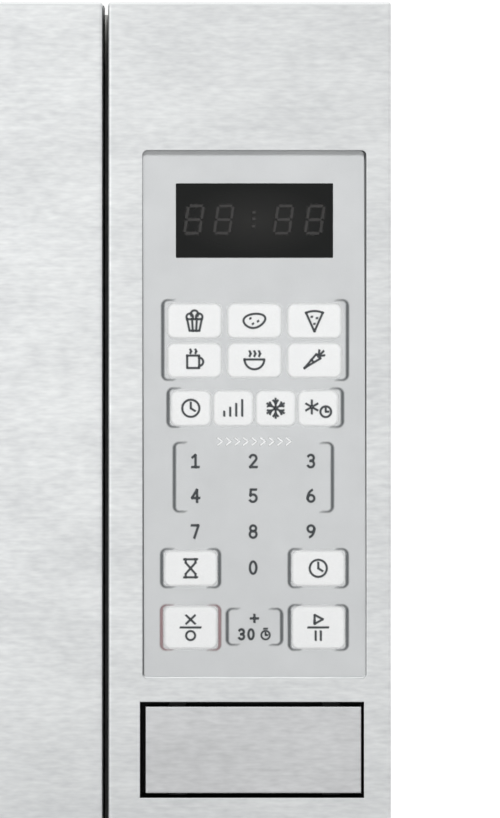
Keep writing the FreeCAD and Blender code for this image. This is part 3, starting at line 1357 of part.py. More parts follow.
DOOR = ("front_left", "door_right"), ("shelf_clearance", "front_top")
VIEW = ("view_left", "view_right"), ("view_low", "view_high")
CHOKE = ("choke_left", "choke_right"), ("choke_low", "choke_high")


def door_glass():
    glass = new_body("door_glass")
    pad_box(glass, ("glass_left", "glass_right"), ("front_y + steel", "glass_back"),
            grown(PANEL[1], "glass_lap"))
    fillet(glass, "glass_corner", lambda edge: runs_along(edge, "y"))


def door_frame():
    body = new_body("door_frame")
    end = "door_back + past"
    pad_box(body, DOOR[0], ("skin_back", "door_back"), DOOR[1])
    left, back = -sheet.front_width / 2, -sheet.total_depth / 2 + sheet.door_thick
    fillet(body, "hinge_radius", lambda edge: runs_along(edge, "z") and lies_at(edge, "x", left)
           and lies_at(edge, "y", back))
    pad_box(body, grown(DOOR[0], "-steel"), ("glass_back", "skin_back"), grown(DOOR[1], "-steel"))
    pocket_box(body, VIEW[0], ("glass_back - past", end), VIEW[1])
    pocket_box(body, CHOKE[0], ("choke_front", end), CHOKE[1])
    pocket_box(body, ("choke_right - past", "latch_x + cover_edge"), ("choke_back", end), CHOKE[1])
    pocket_box(body, around("latch_x", "hook_half + bar_gap"), ("bar_front - bar_gap", end),
               ("hook_z - bar_foot - past", "channel_top"))
    hollow = ("glass_back - past", "door_back - wall")
    rail = "(door_right - front_left - rail_start - rail_end - wall) / 6"
    first = "front_left + rail_start"
    for tall in (("shelf_clearance + steel + wall", "choke_low - wall"),
                 ("choke_high + wall", "front_top - steel - wall")):
        cell = pocket_box(body, (first, f"{first} + {rail} - wall"), hollow, tall)
        row(body, cell, "x", 6, rail)
    stile = "(hinge_high - hinge_low - 2 * stile_end + wall) / 5"
    first = "hinge_low + stile_end"
    for wide in (("front_left + 2 * hinge_radius", "choke_left - wall"),
                 ("latch_x + cover_edge + wall", "door_right - steel - wall")):
        cell = pocket_box(body, wide, hollow, (first, f"{first} + {stile} - wall"))
        row(body, cell, "z", 5, stile)
    for level in ("hinge_low", "hinge_high"):
        pocket_box(body, ("front_left - past", "body_left + steel + hinge_tongue + hinge_swing"),
                   ("door_back - 2 * hinge_radius", end), around(level, "hinge_steel / 2 + past"))
        pin = sketch(body, "XY", f"{level} + hinge_pin_length / 2 + past")
        circle(pin, "hinge_x", "hinge_y", "hinge_pin_radius + running")
        pocket(body, pin, "hinge_pin_length + 2 * past", "-z")


def door_choke():
    pan = new_body("door_choke")
    deep = ("choke_front", "choke_back")
    hollow = ("choke_front + steel", "choke_back + past")
    inner = ("cavity_left", "cavity_right"), ("cavity_floor", "cavity_roof")
    for wide, tall in (CHOKE, inner):
        pad_box(pan, wide, deep, tall)
        pocket_box(pan, grown(wide, "-steel"), hollow, grown(tall, "-steel"))

    cover = new_body("choke_cover")
    through = ("choke_back - past", "door_back + past")
    pad_box(cover, ("choke_left", "latch_x + cover_edge"), ("choke_back", "door_back"), CHOKE[1])
    pocket_box(cover, VIEW[0], through, VIEW[1])
    slot = pocket_box(cover, around("latch_x", "hook_half + past"), through,
                      ("hook_z - hook_height / 2 - past", "hook_z + hook_height / 2 + hook_room"))
    row(cover, slot, "z", 2, "hook_pitch")

    screen = box("screen_sheet", grown(VIEW[0], "screen_lap"), ("choke_back - screen_thick", "choke_back"),
                 grown(VIEW[1], "screen_lap"))
    piece(screen, "door_inner_screen")
    spring = coil("latch_coil", "latch_spring_radius", "latch_spring_wire", "latch_spring_pitch", "z",
                  ("bar_top", "channel_top"), ("latch_x", "(bar_front + bar_back) / 2"))
    piece(spring, "latch_spring")


# Turntable.


def glass_tray():
    tray = new_body("glass_tray")
    revolve(tray, [
        ("0", "0"), ("tray_radius - tray_flare", "0"), ("tray_radius", "tray_rim - tray_lip"),
        ("tray_radius", "tray_rim"), ("tray_radius - tray_lip", "tray_rim"),
        ("tray_radius - tray_flare - tray_step", "tray_thick"), ("0", "tray_thick"),
    ])
    lug = sketch(tray, "XY", "past")
    edge = "lobe_width / 2 + lug_gap"
    rectangle(lug, ("lobe_reach - tray_lug", "lobe_reach"), (edge, edge + " + tray_lug"))
    star(tray, pad(tray, lug, "lug_drop + past", "-z"), "z", 3)
    stand(tray, "tray_x", "tray_y", "tray_z")


def drive_coupler():
    hub = new_body("drive_coupler")
    low = "coupler_low - motor_top"
    tall = "coupler_high - coupler_low"
    core = sketch(hub, "XY", low)
    circle(core, "0", "0", "coupler_radius")
    pad(hub, core, tall, "+z")
    lobe = sketch(hub, "XY", low + " + lobe_rise")
    rectangle(lobe, ("past", "lobe_reach"), around("0", "lobe_width / 2"))
    star(hub, pad(hub, lobe, tall + " - lobe_rise", "+z"), "z", 3)
    shaft = sketch(hub, "XY", "-shaft_depth")
    circle(shaft, "0", "0", "shaft_radius")
    pad(hub, shaft, f"shaft_depth + {low} + past", "+z")
    stand(hub, "tray_x", "tray_y", "motor_top")


def roller_ring():
    ring = new_body("roller_ring")
    inner, half = "ring_radius - ring_width / 2", "ring_height / 2"
    revolve(ring, [(inner, "-" + half), ("ring_outer", "-" + half), ("ring_outer", half), (inner, half)])
    axle = sketch(ring, "YZ", "ring_radius")
    circle(axle, "0", "0", "axle_radius")
    star(ring, pad(ring, axle, "ring_width / 2 + roller_width + axle_end", "+x"), "z", 3)
    stand(ring, "tray_x", "tray_y", "axle_z")

    bore = "axle_radius + running"
    reach = "(ring_outer + roller_gap)"
    for i in range(3):
        wheel = new_body(f"roller_{i + 1}")
        revolve(wheel, [
            (bore, "0"), ("roller_radius", "0"), ("roller_radius", "roller_width"), (bore, "roller_width"),
        ])
        angle = 120 * i
        stand(wheel, f"tray_x + {reach} * cos({angle})", f"tray_y + {reach} * sin({angle})", "axle_z")
        wheel.Placement.Rotation = FreeCAD.Rotation(V(0, 0, 1), angle) * UPRIGHT["x"]


base_plate()
feet()
outer_cover()
rear_panel()
cord_gland()
front_plate()
cavity_box()
hinge("hinge_lower", "hinge_low")
hinge("hinge_upper", "hinge_high")
hinge_pins()
waveguide()
waveguide_cover()
magnetron()
transformer()
capacitor()
fan_shroud()
fan_motor()
fan_blade()
turntable_motor()
oven_lamp()
thermostat()
noise_filter()
latch_body()
interlock_switches()
latch_hooks()
release_lever()
folded_skin("control_fascia", COLUMN, [PANEL, OPENING], "panel_corner")
control_housing()
display()
control_board()
keypad_overlay()
release_button()
folded_skin("door_skin", DOOR, [(("front_left + window_margin", "door_right - window_margin"), PANEL[1])])
door_glass()
door_frame()
door_choke()
glass_tray()
drive_coupler()
roller_ring()
doc.recompute()

faults = [part.Name for part in doc.Objects if {"Invalid", "Error"} & set(part.State)]
faults += [part.Label for part in PIECES if part.Shape.isNull() or not part.Shape.isValid()]
if faults:
    raise RuntimeError("not built: " + ", ".join(faults))

os.makedirs("parts", exist_ok=True)
for part in PIECES:
    part.Shape.exportStep(f"parts/{part.Label}.step")
print(len(PIECES), "pieces written")
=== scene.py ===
# %% [markdown]
# # A built-in microwave oven
# This lesson dresses a jointed microwave oven: a brushed steel front with a window door on the left, and
# on the right a control column with a membrane keypad, a dark display and a push plate that opens the
# door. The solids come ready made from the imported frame, in metres. Blender adds the finishes, the
# printed keys and the light.

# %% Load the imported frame
import json
import math

import bpy
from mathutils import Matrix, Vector


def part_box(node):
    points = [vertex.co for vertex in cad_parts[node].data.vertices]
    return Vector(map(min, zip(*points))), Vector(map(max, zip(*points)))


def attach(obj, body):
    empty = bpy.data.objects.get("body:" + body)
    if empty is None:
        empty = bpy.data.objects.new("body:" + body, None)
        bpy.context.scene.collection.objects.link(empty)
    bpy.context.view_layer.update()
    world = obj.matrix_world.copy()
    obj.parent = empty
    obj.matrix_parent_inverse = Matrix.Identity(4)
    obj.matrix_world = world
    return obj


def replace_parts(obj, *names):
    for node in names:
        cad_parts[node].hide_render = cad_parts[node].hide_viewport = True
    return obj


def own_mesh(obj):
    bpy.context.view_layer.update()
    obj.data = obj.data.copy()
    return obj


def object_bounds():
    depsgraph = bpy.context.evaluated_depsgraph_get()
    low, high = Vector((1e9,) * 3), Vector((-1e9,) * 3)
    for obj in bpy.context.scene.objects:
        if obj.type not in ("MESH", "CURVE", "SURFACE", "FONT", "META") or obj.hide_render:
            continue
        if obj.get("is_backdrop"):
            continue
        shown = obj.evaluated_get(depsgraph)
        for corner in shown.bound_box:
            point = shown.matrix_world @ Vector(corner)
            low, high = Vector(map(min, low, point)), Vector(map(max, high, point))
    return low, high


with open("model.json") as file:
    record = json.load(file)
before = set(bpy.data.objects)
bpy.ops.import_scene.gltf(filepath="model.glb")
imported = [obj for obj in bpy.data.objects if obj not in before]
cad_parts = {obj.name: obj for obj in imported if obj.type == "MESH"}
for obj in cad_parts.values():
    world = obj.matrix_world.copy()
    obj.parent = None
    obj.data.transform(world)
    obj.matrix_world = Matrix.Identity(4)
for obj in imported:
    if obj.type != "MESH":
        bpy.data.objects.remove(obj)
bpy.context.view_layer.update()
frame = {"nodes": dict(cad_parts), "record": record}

# %% [markdown]
# ## Camera
# The picture looks straight at the control column from far away, so upright edges stay upright and hardly
# converge. One pixel of the picture covers 0.466 mm of the steel face. That gives the lens for any
# distance: a long lens two metres away keeps the view almost parallel. The column's right and top edges
# place it.

# %% Place the camera by two edges of the column
MM = 0.001
PICTURE_WIDTH, PICTURE_HEIGHT = 500, 818
RIGHT_EDGE_PIXEL, TOP_EDGE_PIXEL = 391, 2
PIXEL = 0.46643 * MM
CAMERA_DISTANCE = 2.0
SENSOR = 36.0


def linked(name, data):
    """New object in the scene."""
    made = bpy.data.objects.new(name, data)
    bpy.context.scene.collection.objects.link(made)
    return made


fascia_low, fascia_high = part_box("control_fascia")
camera = linked("camera", bpy.data.cameras.new("camera"))
camera.data.sensor_width = SENSOR
camera.data.lens = SENSOR * CAMERA_DISTANCE / (PICTURE_HEIGHT * PIXEL)
camera.location = (
    fascia_high.x + (PICTURE_WIDTH / 2 - RIGHT_EDGE_PIXEL) * PIXEL,
    fascia_low.y - CAMERA_DISTANCE,
    fascia_high.z - (PICTURE_HEIGHT / 2 - TOP_EDGE_PIXEL) * PIXEL,
)
camera.rotation_euler = (math.radians(90), 0, 0)
bpy.context.scene.camera = camera
print("lens", round(camera.data.lens, 1), "mm")

# %% [markdown]
# ## Helpers for materials
# Colours are written as hex values, as a paint chart gives them, and one function turns them into the
# linear numbers that the renderer works with. A second one adds a node to a material with its settings
# and links. The last two start a material and link patterns to its shader.

# %% Colour and node helpers


def srgb(code):
    """Linear colour of a hex value such as "#d8dadb"."""
    parts = [int(code[i:i + 2], 16) / 255 for i in (1, 3, 5)]
    return [c / 12.92 if c <= 0.04045 else ((c + 0.055) / 1.055) ** 2.4 for c in parts] + [1.0]


def add(tree, kind, sockets=None, **settings):
    """Adds a node; each socket gets a value or the output of another node."""
    made = tree.nodes.new("ShaderNode" + kind)
    for name, value in settings.items():
        setattr(made, name, value)
    for name, value in (sockets or {}).items():
        if isinstance(value, bpy.types.NodeSocket):
            tree.links.new(value, made.inputs[name])
        else:
            made.inputs[name].default_value = value
    return made


def new_material(name, **sockets):
    """A material with one Principled shader, and the values that are the same all over it."""
    material = bpy.data.materials.new(name)
    material.use_nodes = True
    tree = material.node_tree
    tree.nodes.clear()
    shader = add(tree, "BsdfPrincipled", {key.replace("_", " "): value for key, value in sockets.items()})
    add(tree, "OutputMaterial", {"Surface": shader.outputs[0]})
    return material, tree, shader


def feed(tree, shader, **sockets):
    """Links patterns to sockets of a shader."""
    for key, value in sockets.items():
        tree.links.new(value, shader.inputs[key.replace("_", " ")])


print("white is", [round(c, 2) for c in srgb("#ffffff")])

# %% [markdown]
# ## A white room
# A catalogue picture of steel is lit by large white surfaces: the metal shows them as an even pale grey.
# Here the world is such a room. The camera, mirrors and glass see its walls, a little brighter on the left
# and a little darker higher up, and its bright ceiling. What the room throws on matt surfaces is much
# lower, because a lamp gives most of their light.

# %% World
WORLD_FILL = 0.2
LEFT_WALL, RIGHT_WALL, UPPER_WALL, CEILING = 1.06, 1.0, 0.86, 1.5
world = bpy.data.worlds.new("studio")
bpy.context.scene.world = world
world.use_nodes = True
sky = world.node_tree
sky.nodes.clear()


def ramp(tree, value, start, end, low, high, kind="LINEAR"):
    """Goes from low to high while the value goes from start to end."""
    sockets = {"Value": value, "From Min": start, "From Max": end, "To Min": low, "To Max": high}
    return add(tree, "MapRange", sockets, interpolation_type=kind).outputs[0]


def maths(tree, operation, *values, **settings):
    """Result of one calculation."""
    return add(tree, "Math", dict(enumerate(values)), operation=operation, **settings).outputs[0]


def seen_directly(tree):
    """Switch that is 1 for rays from the camera, a mirror or a glass."""
    kinds = add(tree, "LightPath").outputs
    first = maths(tree, "MAXIMUM", kinds["Is Camera Ray"], kinds["Is Glossy Ray"])
    return maths(tree, "MAXIMUM", first, kinds["Is Transmission Ray"])


# direction of a ray: X is 1 straight to the right, Z is 1 straight up
towards = add(sky, "SeparateXYZ", {0: add(sky, "TexCoord").outputs["Generated"]}).outputs
walls = ramp(sky, towards["X"], -0.7, 0.7, LEFT_WALL, RIGHT_WALL)
upper_walls = ramp(sky, towards["Z"], 0.1, 0.4, 1.0, UPPER_WALL)
ceiling = ramp(sky, towards["Z"], 0.5, 0.9, 1.0, CEILING)
room = maths(sky, "MULTIPLY", maths(sky, "MULTIPLY", walls, upper_walls), ceiling)
level = add(sky, "Mix", {0: seen_directly(sky), 2: WORLD_FILL, 3: room})
backdrop = add(sky, "Background", {"Color": srgb("#ffffff"), "Strength": level.outputs[0]})
add(sky, "OutputWorld", {"Surface": backdrop.outputs[0]})
print("room nodes:", len(sky.nodes))

# %% [markdown]
# ## Lamps
# The key lamp hangs high in front, on the right. It gives matt surfaces most of their light and draws the
# shadow under the upper edge of the keypad. A rear lamp serves the back. Mirrors don't see these two, so
# the steel shows the walls of the room and no bright squares. A weak lamp on the left, which the steel
# does see, makes that side of the column a shade lighter.

# %% Three lamps


def lamp(name, place, target, size, watts):
    """Square soft lamp that looks at a point."""
    light = bpy.data.lights.new(name, "AREA")
    light.size = size
    light.energy = watts
    made = linked(name, light)
    made.location = place
    made.rotation_euler = (Vector(target) - Vector(place)).to_track_quat("-Z", "Y").to_euler()
    return made


key = lamp("key_lamp", (0.65, -1.7, 2.4), (0.15, -0.2, 0.2), 0.62, 71)
rear = lamp("rear_lamp", (0.6, 1.7, 1.7), (0.0, 0.1, 0.2), 1.2, 30)
lamp("side_lamp", (-0.25, -0.95, 0.3), (0.2, -0.2, 0.25), 0.7, 0.7)
key.visible_glossy = rear.visible_glossy = False

# %% [markdown]
# ## Floor
# The floor is pale and matt. It is wide, so that its far edge runs into the white of the world. Part of
# its white is a glow that only the camera, mirrors and glass see: open floor reaches full white with it,
# and the shade near the oven stays. In mirrors the floor glows less near the oven, where it would be in
# its shade: the lower half of the steel front gets its deeper tone from that. The standard view shows
# these tones as they are.

# %% Floor
FLOOR_REACH, FLOOR_GLOW = 40.0, 0.38
GLOW_START = 0.25
SEEN_GLOW, MIRRORED_GLOW = (2.0, 1.9, 2.7), (2.4, 0.96, 1.7)  # full at this distance; glow near and far


def point_mesh(name, vertices, faces):
    """Mesh from points and faces."""
    mesh = bpy.data.meshes.new(name)
    mesh.from_pydata(vertices, [], faces)
    return mesh


corners = [(x * FLOOR_REACH, y * FLOOR_REACH, 0) for x, y in ((-1, -1), (1, -1), (1, 1), (-1, 1))]
floor = linked("floor", point_mesh("floor", corners, [(0, 1, 2, 3)]))
floor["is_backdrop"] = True
floor_paint, tree, shader = new_material("pale_floor", Base_Color=srgb("#bdbdbd"), Roughness=0.9)
spot = add(tree, "TexCoord").outputs["Object"]
away = add(tree, "VectorMath", {0: spot}, operation="LENGTH").outputs["Value"]
seen, mirrored = [ramp(tree, away, GLOW_START, *glow, "SMOOTHSTEP") for glow in (SEEN_GLOW, MIRRORED_GLOW)]
strength = add(tree, "Mix", {0: add(tree, "LightPath").outputs["Is Glossy Ray"], 2: seen, 3: mirrored})
glow = add(tree, "Emission", {"Color": srgb("#ffffff"), "Strength": strength.outputs[0]})
share = maths(tree, "MULTIPLY", seen_directly(tree), FLOOR_GLOW)
both = add(tree, "MixShader", {0: share, 1: shader.outputs[0], 2: glow.outputs[0]})
tree.links.new(both.outputs[0], tree.nodes["Material Output"].inputs["Surface"])
floor.data.materials.append(floor_paint)
bpy.context.scene.view_settings.view_transform = "Standard"
print("floor", 2 * FLOOR_REACH, "m wide")

# %% [markdown]
# ## Brushed stainless steel
# The sheet was ground with a belt in one direction, so it has fine scratches that run sideways. Each
# scratch is a tiny groove: it spreads reflections upwards and downwards, and some look lighter than
# others. A noise pattern stretched sideways gives such lines, and a broad one gives the clouds that a belt
# leaves where it presses harder. Real scratches are about 0.05 mm wide, too fine for this picture, so they
# are drawn 1 to 2 mm wide. The sheet was ground flat and folded later, so on the upper and lower returns
# the scratches still run sideways: there the pattern takes its fine direction from the depth.

# %% Brushed stainless steel
CLOUDS = (55 * MM, 24 * MM, 0.35)  # length, width and share of the pattern
LONG_SCRATCHES = (28 * MM, 1.4 * MM, 0.15)
SCRATCHES = (7.5 * MM, 2.2 * MM, 0.5)
DARK_ROUGHNESS, LIGHT_ROUGHNESS = 0.42, 0.32
GROOVE_DEPTH = 0.05 * MM


def blend(tree, share, dark, light):
    """Colour between two hex values."""
    sockets = {0: share, 6: srgb(dark), 7: srgb(light)}
    return add(tree, "Mix", sockets, data_type="RGBA").outputs[2]


def brushed_stainless(name, light, dark):
    """Ground steel sheet; the two colours are those of its lightest and darkest scratches."""
    material, tree, shader = new_material(name, Metallic=1.0)
    place = add(tree, "TexCoord").outputs
    spot = add(tree, "SeparateXYZ", {0: place["Object"]}).outputs
    facing = add(tree, "SeparateXYZ", {0: place["Normal"]}).outputs
    across = maths(tree, "MULTIPLY_ADD", spot["Y"], maths(tree, "ABSOLUTE", facing["Z"]), spot["Z"])
    folded = add(tree, "CombineXYZ", {"X": spot["X"], "Y": spot["Y"], "Z": across}).outputs[0]
    total = 0.0
    for length, width, share in (CLOUDS, LONG_SCRATCHES, SCRATCHES):
        scale = (1 / length, 1 / length, 1 / width)
        stretched = add(tree, "Mapping", {"Vector": folded, "Scale": scale}).outputs[0]
        sockets = {"Vector": stretched, "Scale": 1.0, "Detail": 1.5, "Roughness": 0.6}
        lines = add(tree, "TexNoise", sockets).outputs["Fac"]
        total = maths(tree, "MULTIPLY_ADD", lines, share, total)
    spread = ramp(tree, total, 0.35, 0.65, 0.0, 1.0)
    gloss = ramp(tree, spread, 0.0, 1.0, DARK_ROUGHNESS, LIGHT_ROUGHNESS)
    groove = add(tree, "Bump", {"Height": lines, "Strength": 0.12, "Distance": GROOVE_DEPTH}).outputs[0]
    feed(tree, shader, Base_Color=blend(tree, spread, dark, light), Roughness=gloss, Normal=groove)
    return material


front_steel = brushed_stainless("brushed_stainless_sheet", "#e9ebeb", "#d4d6d7")
plate_steel = brushed_stainless("brushed_stainless_push_plate", "#dcddde", "#c8c9ca")
print(front_steel.name, plate_steel.name)

# %% [markdown]
# ## Other metals
# The casing is bare galvanised sheet: zinc freezes into flat crystals about half a centimetre wide, each
# with its own grey. Cells of a Voronoi pattern look just like them, and their tones lie close together on
# skin-passed sheet. Small steel parts are zinc plated, with an even, slightly cloudy shine. Aluminium
# keeps faint roller marks.

# %% Galvanised, plated and rolled metals
GLOSS_SPREAD = 0.06


def noise(tree, grain, detail):
    """Noise pattern with patches of the given size."""
    place = add(tree, "TexCoord").outputs["Object"]
    return add(tree, "TexNoise", {"Vector": place, "Scale": 1 / grain, "Detail": detail}).outputs["Fac"]


def cloudy_metal(name, light, dark, grain, roughness, metallic=1.0, cells=False):
    """Metal whose tone changes over patches of the given size."""
    material, tree, shader = new_material(name, Metallic=metallic)
    value = noise(tree, grain, 4.0)
    if cells:
        place = add(tree, "TexCoord").outputs["Object"]
        patches = add(tree, "TexVoronoi", {"Vector": place, "Scale": 1 / grain})
        single = add(tree, "SeparateColor", {0: patches.outputs["Color"]})
        value = add(tree, "Mix", {0: 0.5, 2: single.outputs[0], 3: value}).outputs[0]
    gloss = ramp(tree, value, 0.0, 1.0, roughness + GLOSS_SPREAD, roughness - GLOSS_SPREAD)
    feed(tree, shader, Base_Color=blend(tree, value, dark, light), Roughness=gloss)
    return material


galvanised_sheet = cloudy_metal("galvanised_steel_sheet", "#bfc2c4", "#b0b4b6", 5 * MM, 0.4, cells=True)
zinc_plate = cloudy_metal("zinc_plated_steel", "#c9cacb", "#aeb0b1", 14 * MM, 0.3)
spring_wire = cloudy_metal("drawn_spring_wire", "#a9aaab", "#8d8e90", 2 * MM, 0.3)
rolled_aluminium = cloudy_metal("rolled_aluminium", "#d6d7d8", "#c2c4c5", 6 * MM, 0.34)
varnished_iron = cloudy_metal("varnished_iron_laminations", "#6a665f", "#4a4743", 3 * MM, 0.5, metallic=0.7)
enamelled_copper = cloudy_metal("enamelled_copper_wire", "#b4673a", "#8d4a28", 1.2 * MM, 0.35)
print("metals:", galvanised_sheet.name, zinc_plate.name, rolled_aluminium.name)

# %% [markdown]
# ## Enamel, mouldings and sheets
# Moulded plastic has a fine spark-eroded texture that scatters reflections, so it gets a small bump.
# Enamel flows before it hardens: it is smoother, with a faint wave. All of these are a base colour that
# changes a little from place to place, a roughness and a bump, so one function makes them from their real
# grain size.

# %% Coatings and plastics
TONE_PATCH = 12  # grains across a patch of one tone


def coated(name, light, dark, grain, depth, roughness):
    """Paint, enamel, plastic or rubber: two close tones and a bump of the given grain."""
    material, tree, shader = new_material(name, Roughness=roughness)
    tint = blend(tree, noise(tree, TONE_PATCH * grain, 3.0), dark, light)
    bump = add(tree, "Bump", {"Height": noise(tree, grain, 2.0), "Strength": 0.4, "Distance": depth})
    feed(tree, shader, Base_Color=tint, Normal=bump.outputs[0])
    return material


plate_enamel = coated("grey_stove_enamel", "#b9bab8", "#b2b3b1", 3 * MM, 0.02 * MM, 0.35)
cavity_enamel = coated("cream_cavity_enamel", "#e3e2dd", "#dcdad4", 4 * MM, 0.03 * MM, 0.28)
black_abs = coated("textured_black_abs", "#1b1b1c", "#141415", 0.5 * MM, 0.03 * MM, 0.5)
grey_nylon = coated("moulded_grey_nylon", "#8f9192", "#868889", 0.8 * MM, 0.02 * MM, 0.5)
white_acetal = coated("moulded_white_acetal", "#e6e6e1", "#dededa", 0.8 * MM, 0.02 * MM, 0.4)
black_parts = coated("moulded_black_epoxy", "#2a2a2b", "#202021", 0.6 * MM, 0.03 * MM, 0.45)
foot_rubber = coated("moulded_black_rubber", "#222223", "#19191a", 0.7 * MM, 0.05 * MM, 0.8)
solder_mask = coated("green_solder_mask", "#1f6b3a", "#1a5c31", 0.8 * MM, 0.02 * MM, 0.35)
mica = coated("pressed_mica_sheet", "#b8a78a", "#a08f72", 1.5 * MM, 0.06 * MM, 0.55)
ferrite = coated("sintered_ferrite", "#4a4a4d", "#3c3c3f", 0.6 * MM, 0.04 * MM, 0.6)
print("coatings:", plate_enamel.name, cavity_enamel.name, black_abs.name)

# %% [markdown]
# ## Glass and the perforated screen
# The door has smoked glass outside, a thin clear film inside, and between them a steel pan with thousands
# of small holes that stop the microwaves and let light out. Wiped glass is never quite even: faint smears
# a few centimetres wide change its gloss. Real holes are 1.3 mm wide, 2 mm apart. They are drawn every
# 4 mm on a slanted grid, so that they still show in a view of the whole oven. Their near black is painted
# shade, for the dark oven behind them.

# %% Door and tray glass
SMEAR, SMEAR_GAIN = 30 * MM, 1.8
HOLE_PITCH, HOLE_EDGE = 4 * MM, (0.3, 0.38)


def wiped_glass(name, colour, roughness, **sockets):
    """Clear or tinted glass or plastic with faint smears in its gloss."""
    material, tree, shader = new_material(name, Base_Color=srgb(colour), **sockets)
    gloss = ramp(tree, noise(tree, SMEAR, 3.0), 0.3, 0.7, roughness, SMEAR_GAIN * roughness)
    feed(tree, shader, Roughness=gloss)
    return material, tree, shader


smoked_glass = wiped_glass("smoked_door_glass", "#a4a7a9", 0.02, Transmission_Weight=1.0, IOR=1.5)[0]
tray_glass = wiped_glass("pressed_tray_glass", "#e9f3f2", 0.04, Transmission_Weight=1.0, IOR=1.5)[0]
clear_film = wiped_glass("clear_polyester_film", "#eef0f0", 0.02, Transmission_Weight=0.9, IOR=1.4)[0]
bulb_glass = wiped_glass("clear_bulb_glass", "#f4f4ee", 0.01, Transmission_Weight=1.0, IOR=1.5)[0]

screen_enamel, tree, shader = new_material("perforated_black_enamel", Roughness=0.4)
slanted = add(tree, "Mapping", {"Vector": add(tree, "TexCoord").outputs["Object"],
                                "Scale": (1 / HOLE_PITCH,) * 3,
                                "Rotation": (math.radians(90), 0, math.radians(45))})
grid = add(tree, "TexVoronoi", {"Vector": slanted.outputs[0], "Scale": 1.0, "Randomness": 0.0},
           voronoi_dimensions="2D")
enamel = ramp(tree, grid.outputs["Distance"], *HOLE_EDGE, 0.0, 1.0)
# painted shade: the holes are near black, for the dark oven seen through them
feed(tree, shader, Base_Color=blend(tree, enamel, "#050505", "#555657"))
print("glass:", smoked_glass.name, tray_glass.name, screen_enamel.name)

# %% [markdown]
# ## Keypad film and display window
# The keypad is one polyester film over thin switches. Its back is printed silver-grey, which gives a
# satin, slightly metallic tone with a very fine grain. The display window is smoked acrylic: it looks
# black while the digits are off. Its middle is painted a shade lighter: painted light for the pale face
# of the display that lies behind it and would show through.

# %% Film and acrylic
silver_film, tree, shader = new_material("satin_silver_film", Metallic=0.1, Roughness=0.42)
uneven = add(tree, "Mix", {0: 0.7, 2: noise(tree, 0.6 * MM, 2.0), 3: noise(tree, 18 * MM, 3.0)})
feed(tree, shader, Base_Color=blend(tree, uneven.outputs[0], "#c5c7c8", "#d7d9da"))

smoked_acrylic, tree, shader = wiped_glass("smoked_acrylic", "#161716", 0.14, Specular_IOR_Level=0.2)
# painted light: the colour is lighter in the middle, for the display face behind the window
whole = add(tree, "TexCoord").outputs["Generated"]
centred = add(tree, "Mapping", {"Vector": whole, "Location": (-1.0, 0, -1.0), "Scale": (2, 0, 2)})
middle = add(tree, "TexGradient", {"Vector": centred.outputs[0]}, gradient_type="SPHERICAL")
feed(tree, shader, Base_Color=blend(tree, middle.outputs["Fac"], "#080a09", "#232322"))
print("keypad:", silver_film.name, smoked_acrylic.name)

# %% [markdown]
# ## A finish for every solid
# The record names a material slot for each solid. A table from slot to finish is enough to dress all of
# them. Only the push plate, of a darker sheet, and the bulb differ from their slot.

# %% Dress the solids
FINISHES = {
    "galvanised_steel": galvanised_sheet, "face_enamel": plate_enamel, "cavity_enamel": cavity_enamel,
    "brushed_stainless": front_steel, "plated_steel": zinc_plate, "spring_steel": spring_wire,
    "black_abs": black_abs, "grey_nylon": grey_nylon, "white_acetal": white_acetal,
    "membrane_film": silver_film, "display_acrylic": smoked_acrylic, "circuit_board": solder_mask,
    "black_components": black_parts, "rubber": foot_rubber, "mica_sheet": mica, "ferrite": ferrite,
    "aluminium": rolled_aluminium, "copper": enamelled_copper, "laminations": varnished_iron,
    "smoked_glass": smoked_glass, "clear_glass": tray_glass, "screen_film": clear_film,
    "screen_enamel": screen_enamel,
}
for row in frame["record"]["subparts"]:
    solid = frame["nodes"][row["node"]]
    solid.data.materials.clear()
    solid.data.materials.append(FINISHES[row["material_slot"]])
frame["nodes"]["button_cap"].data.materials[0] = plate_steel
frame["nodes"]["lamp_bulb"].data.materials[0] = bulb_glass

# %% [markdown]
# ## Outlines and plates
# Everything printed or raised on the keypad is a flat outline in the plane of the front, in millimetres.
# A plate is a set of closed outlines, filled and given a thickness by a curve.

# %% Outline and plate helpers


def rounded(width, height, radius, steps=6):
    """Points of a rectangle with round corners, around its centre."""
    points = []
    for quarter, (side_x, side_z) in enumerate(((1, 1), (-1, 1), (-1, -1), (1, -1))):
        for step in range(steps + 1):
            angle = math.radians(90 * (quarter + step / steps))
            points.append((side_x * (width / 2 - radius) + radius * math.cos(angle),
                           side_z * (height / 2 - radius) + radius * math.sin(angle)))
    return points


def moved(points, x, z):
    """The same points somewhere else."""
    return [(px + x, pz + z) for px, pz in points]


def shown(name, mesh, material, body):
    """Links a mesh as a piece that rides on a body."""
    mesh.materials.append(material)
    made = linked(name, mesh)
    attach(made, body)
    return made


def meshed(curve):
    """Mesh of a curve with its bevel."""
    holder = linked(curve.name, curve)
    bpy.context.view_layer.update()
    mesh = bpy.data.meshes.new_from_object(holder.evaluated_get(bpy.context.evaluated_depsgraph_get()))
    bpy.data.objects.remove(holder)
    return mesh


def plate_mesh(name, outlines, front, thickness, edge):
    """Plate with eased edges; later outlines are holes in the first."""
    curve = bpy.data.curves.new(name, "CURVE")
    curve.dimensions = "2D"
    curve.fill_mode = "BOTH"
    curve.extrude = thickness / 2 - edge
    curve.bevel_depth = edge
    curve.bevel_resolution = 2
    curve.offset = -edge
    for outline in outlines:
        spline = curve.splines.new("POLY")
        spline.points.add(len(outline) - 1)
        for point, (x, z) in zip(spline.points, outline):
            point.co = (x * MM, z * MM, 0, 1)
        spline.use_cyclic_u = True
    mesh = meshed(curve)
    for vertex in mesh.vertices:
        x, z, towards = vertex.co
        vertex.co = (x, front + thickness / 2 - towards, z)
    return mesh


print("a 25 by 16 mm key has", len(rounded(25, 16, 3)), "outline points")

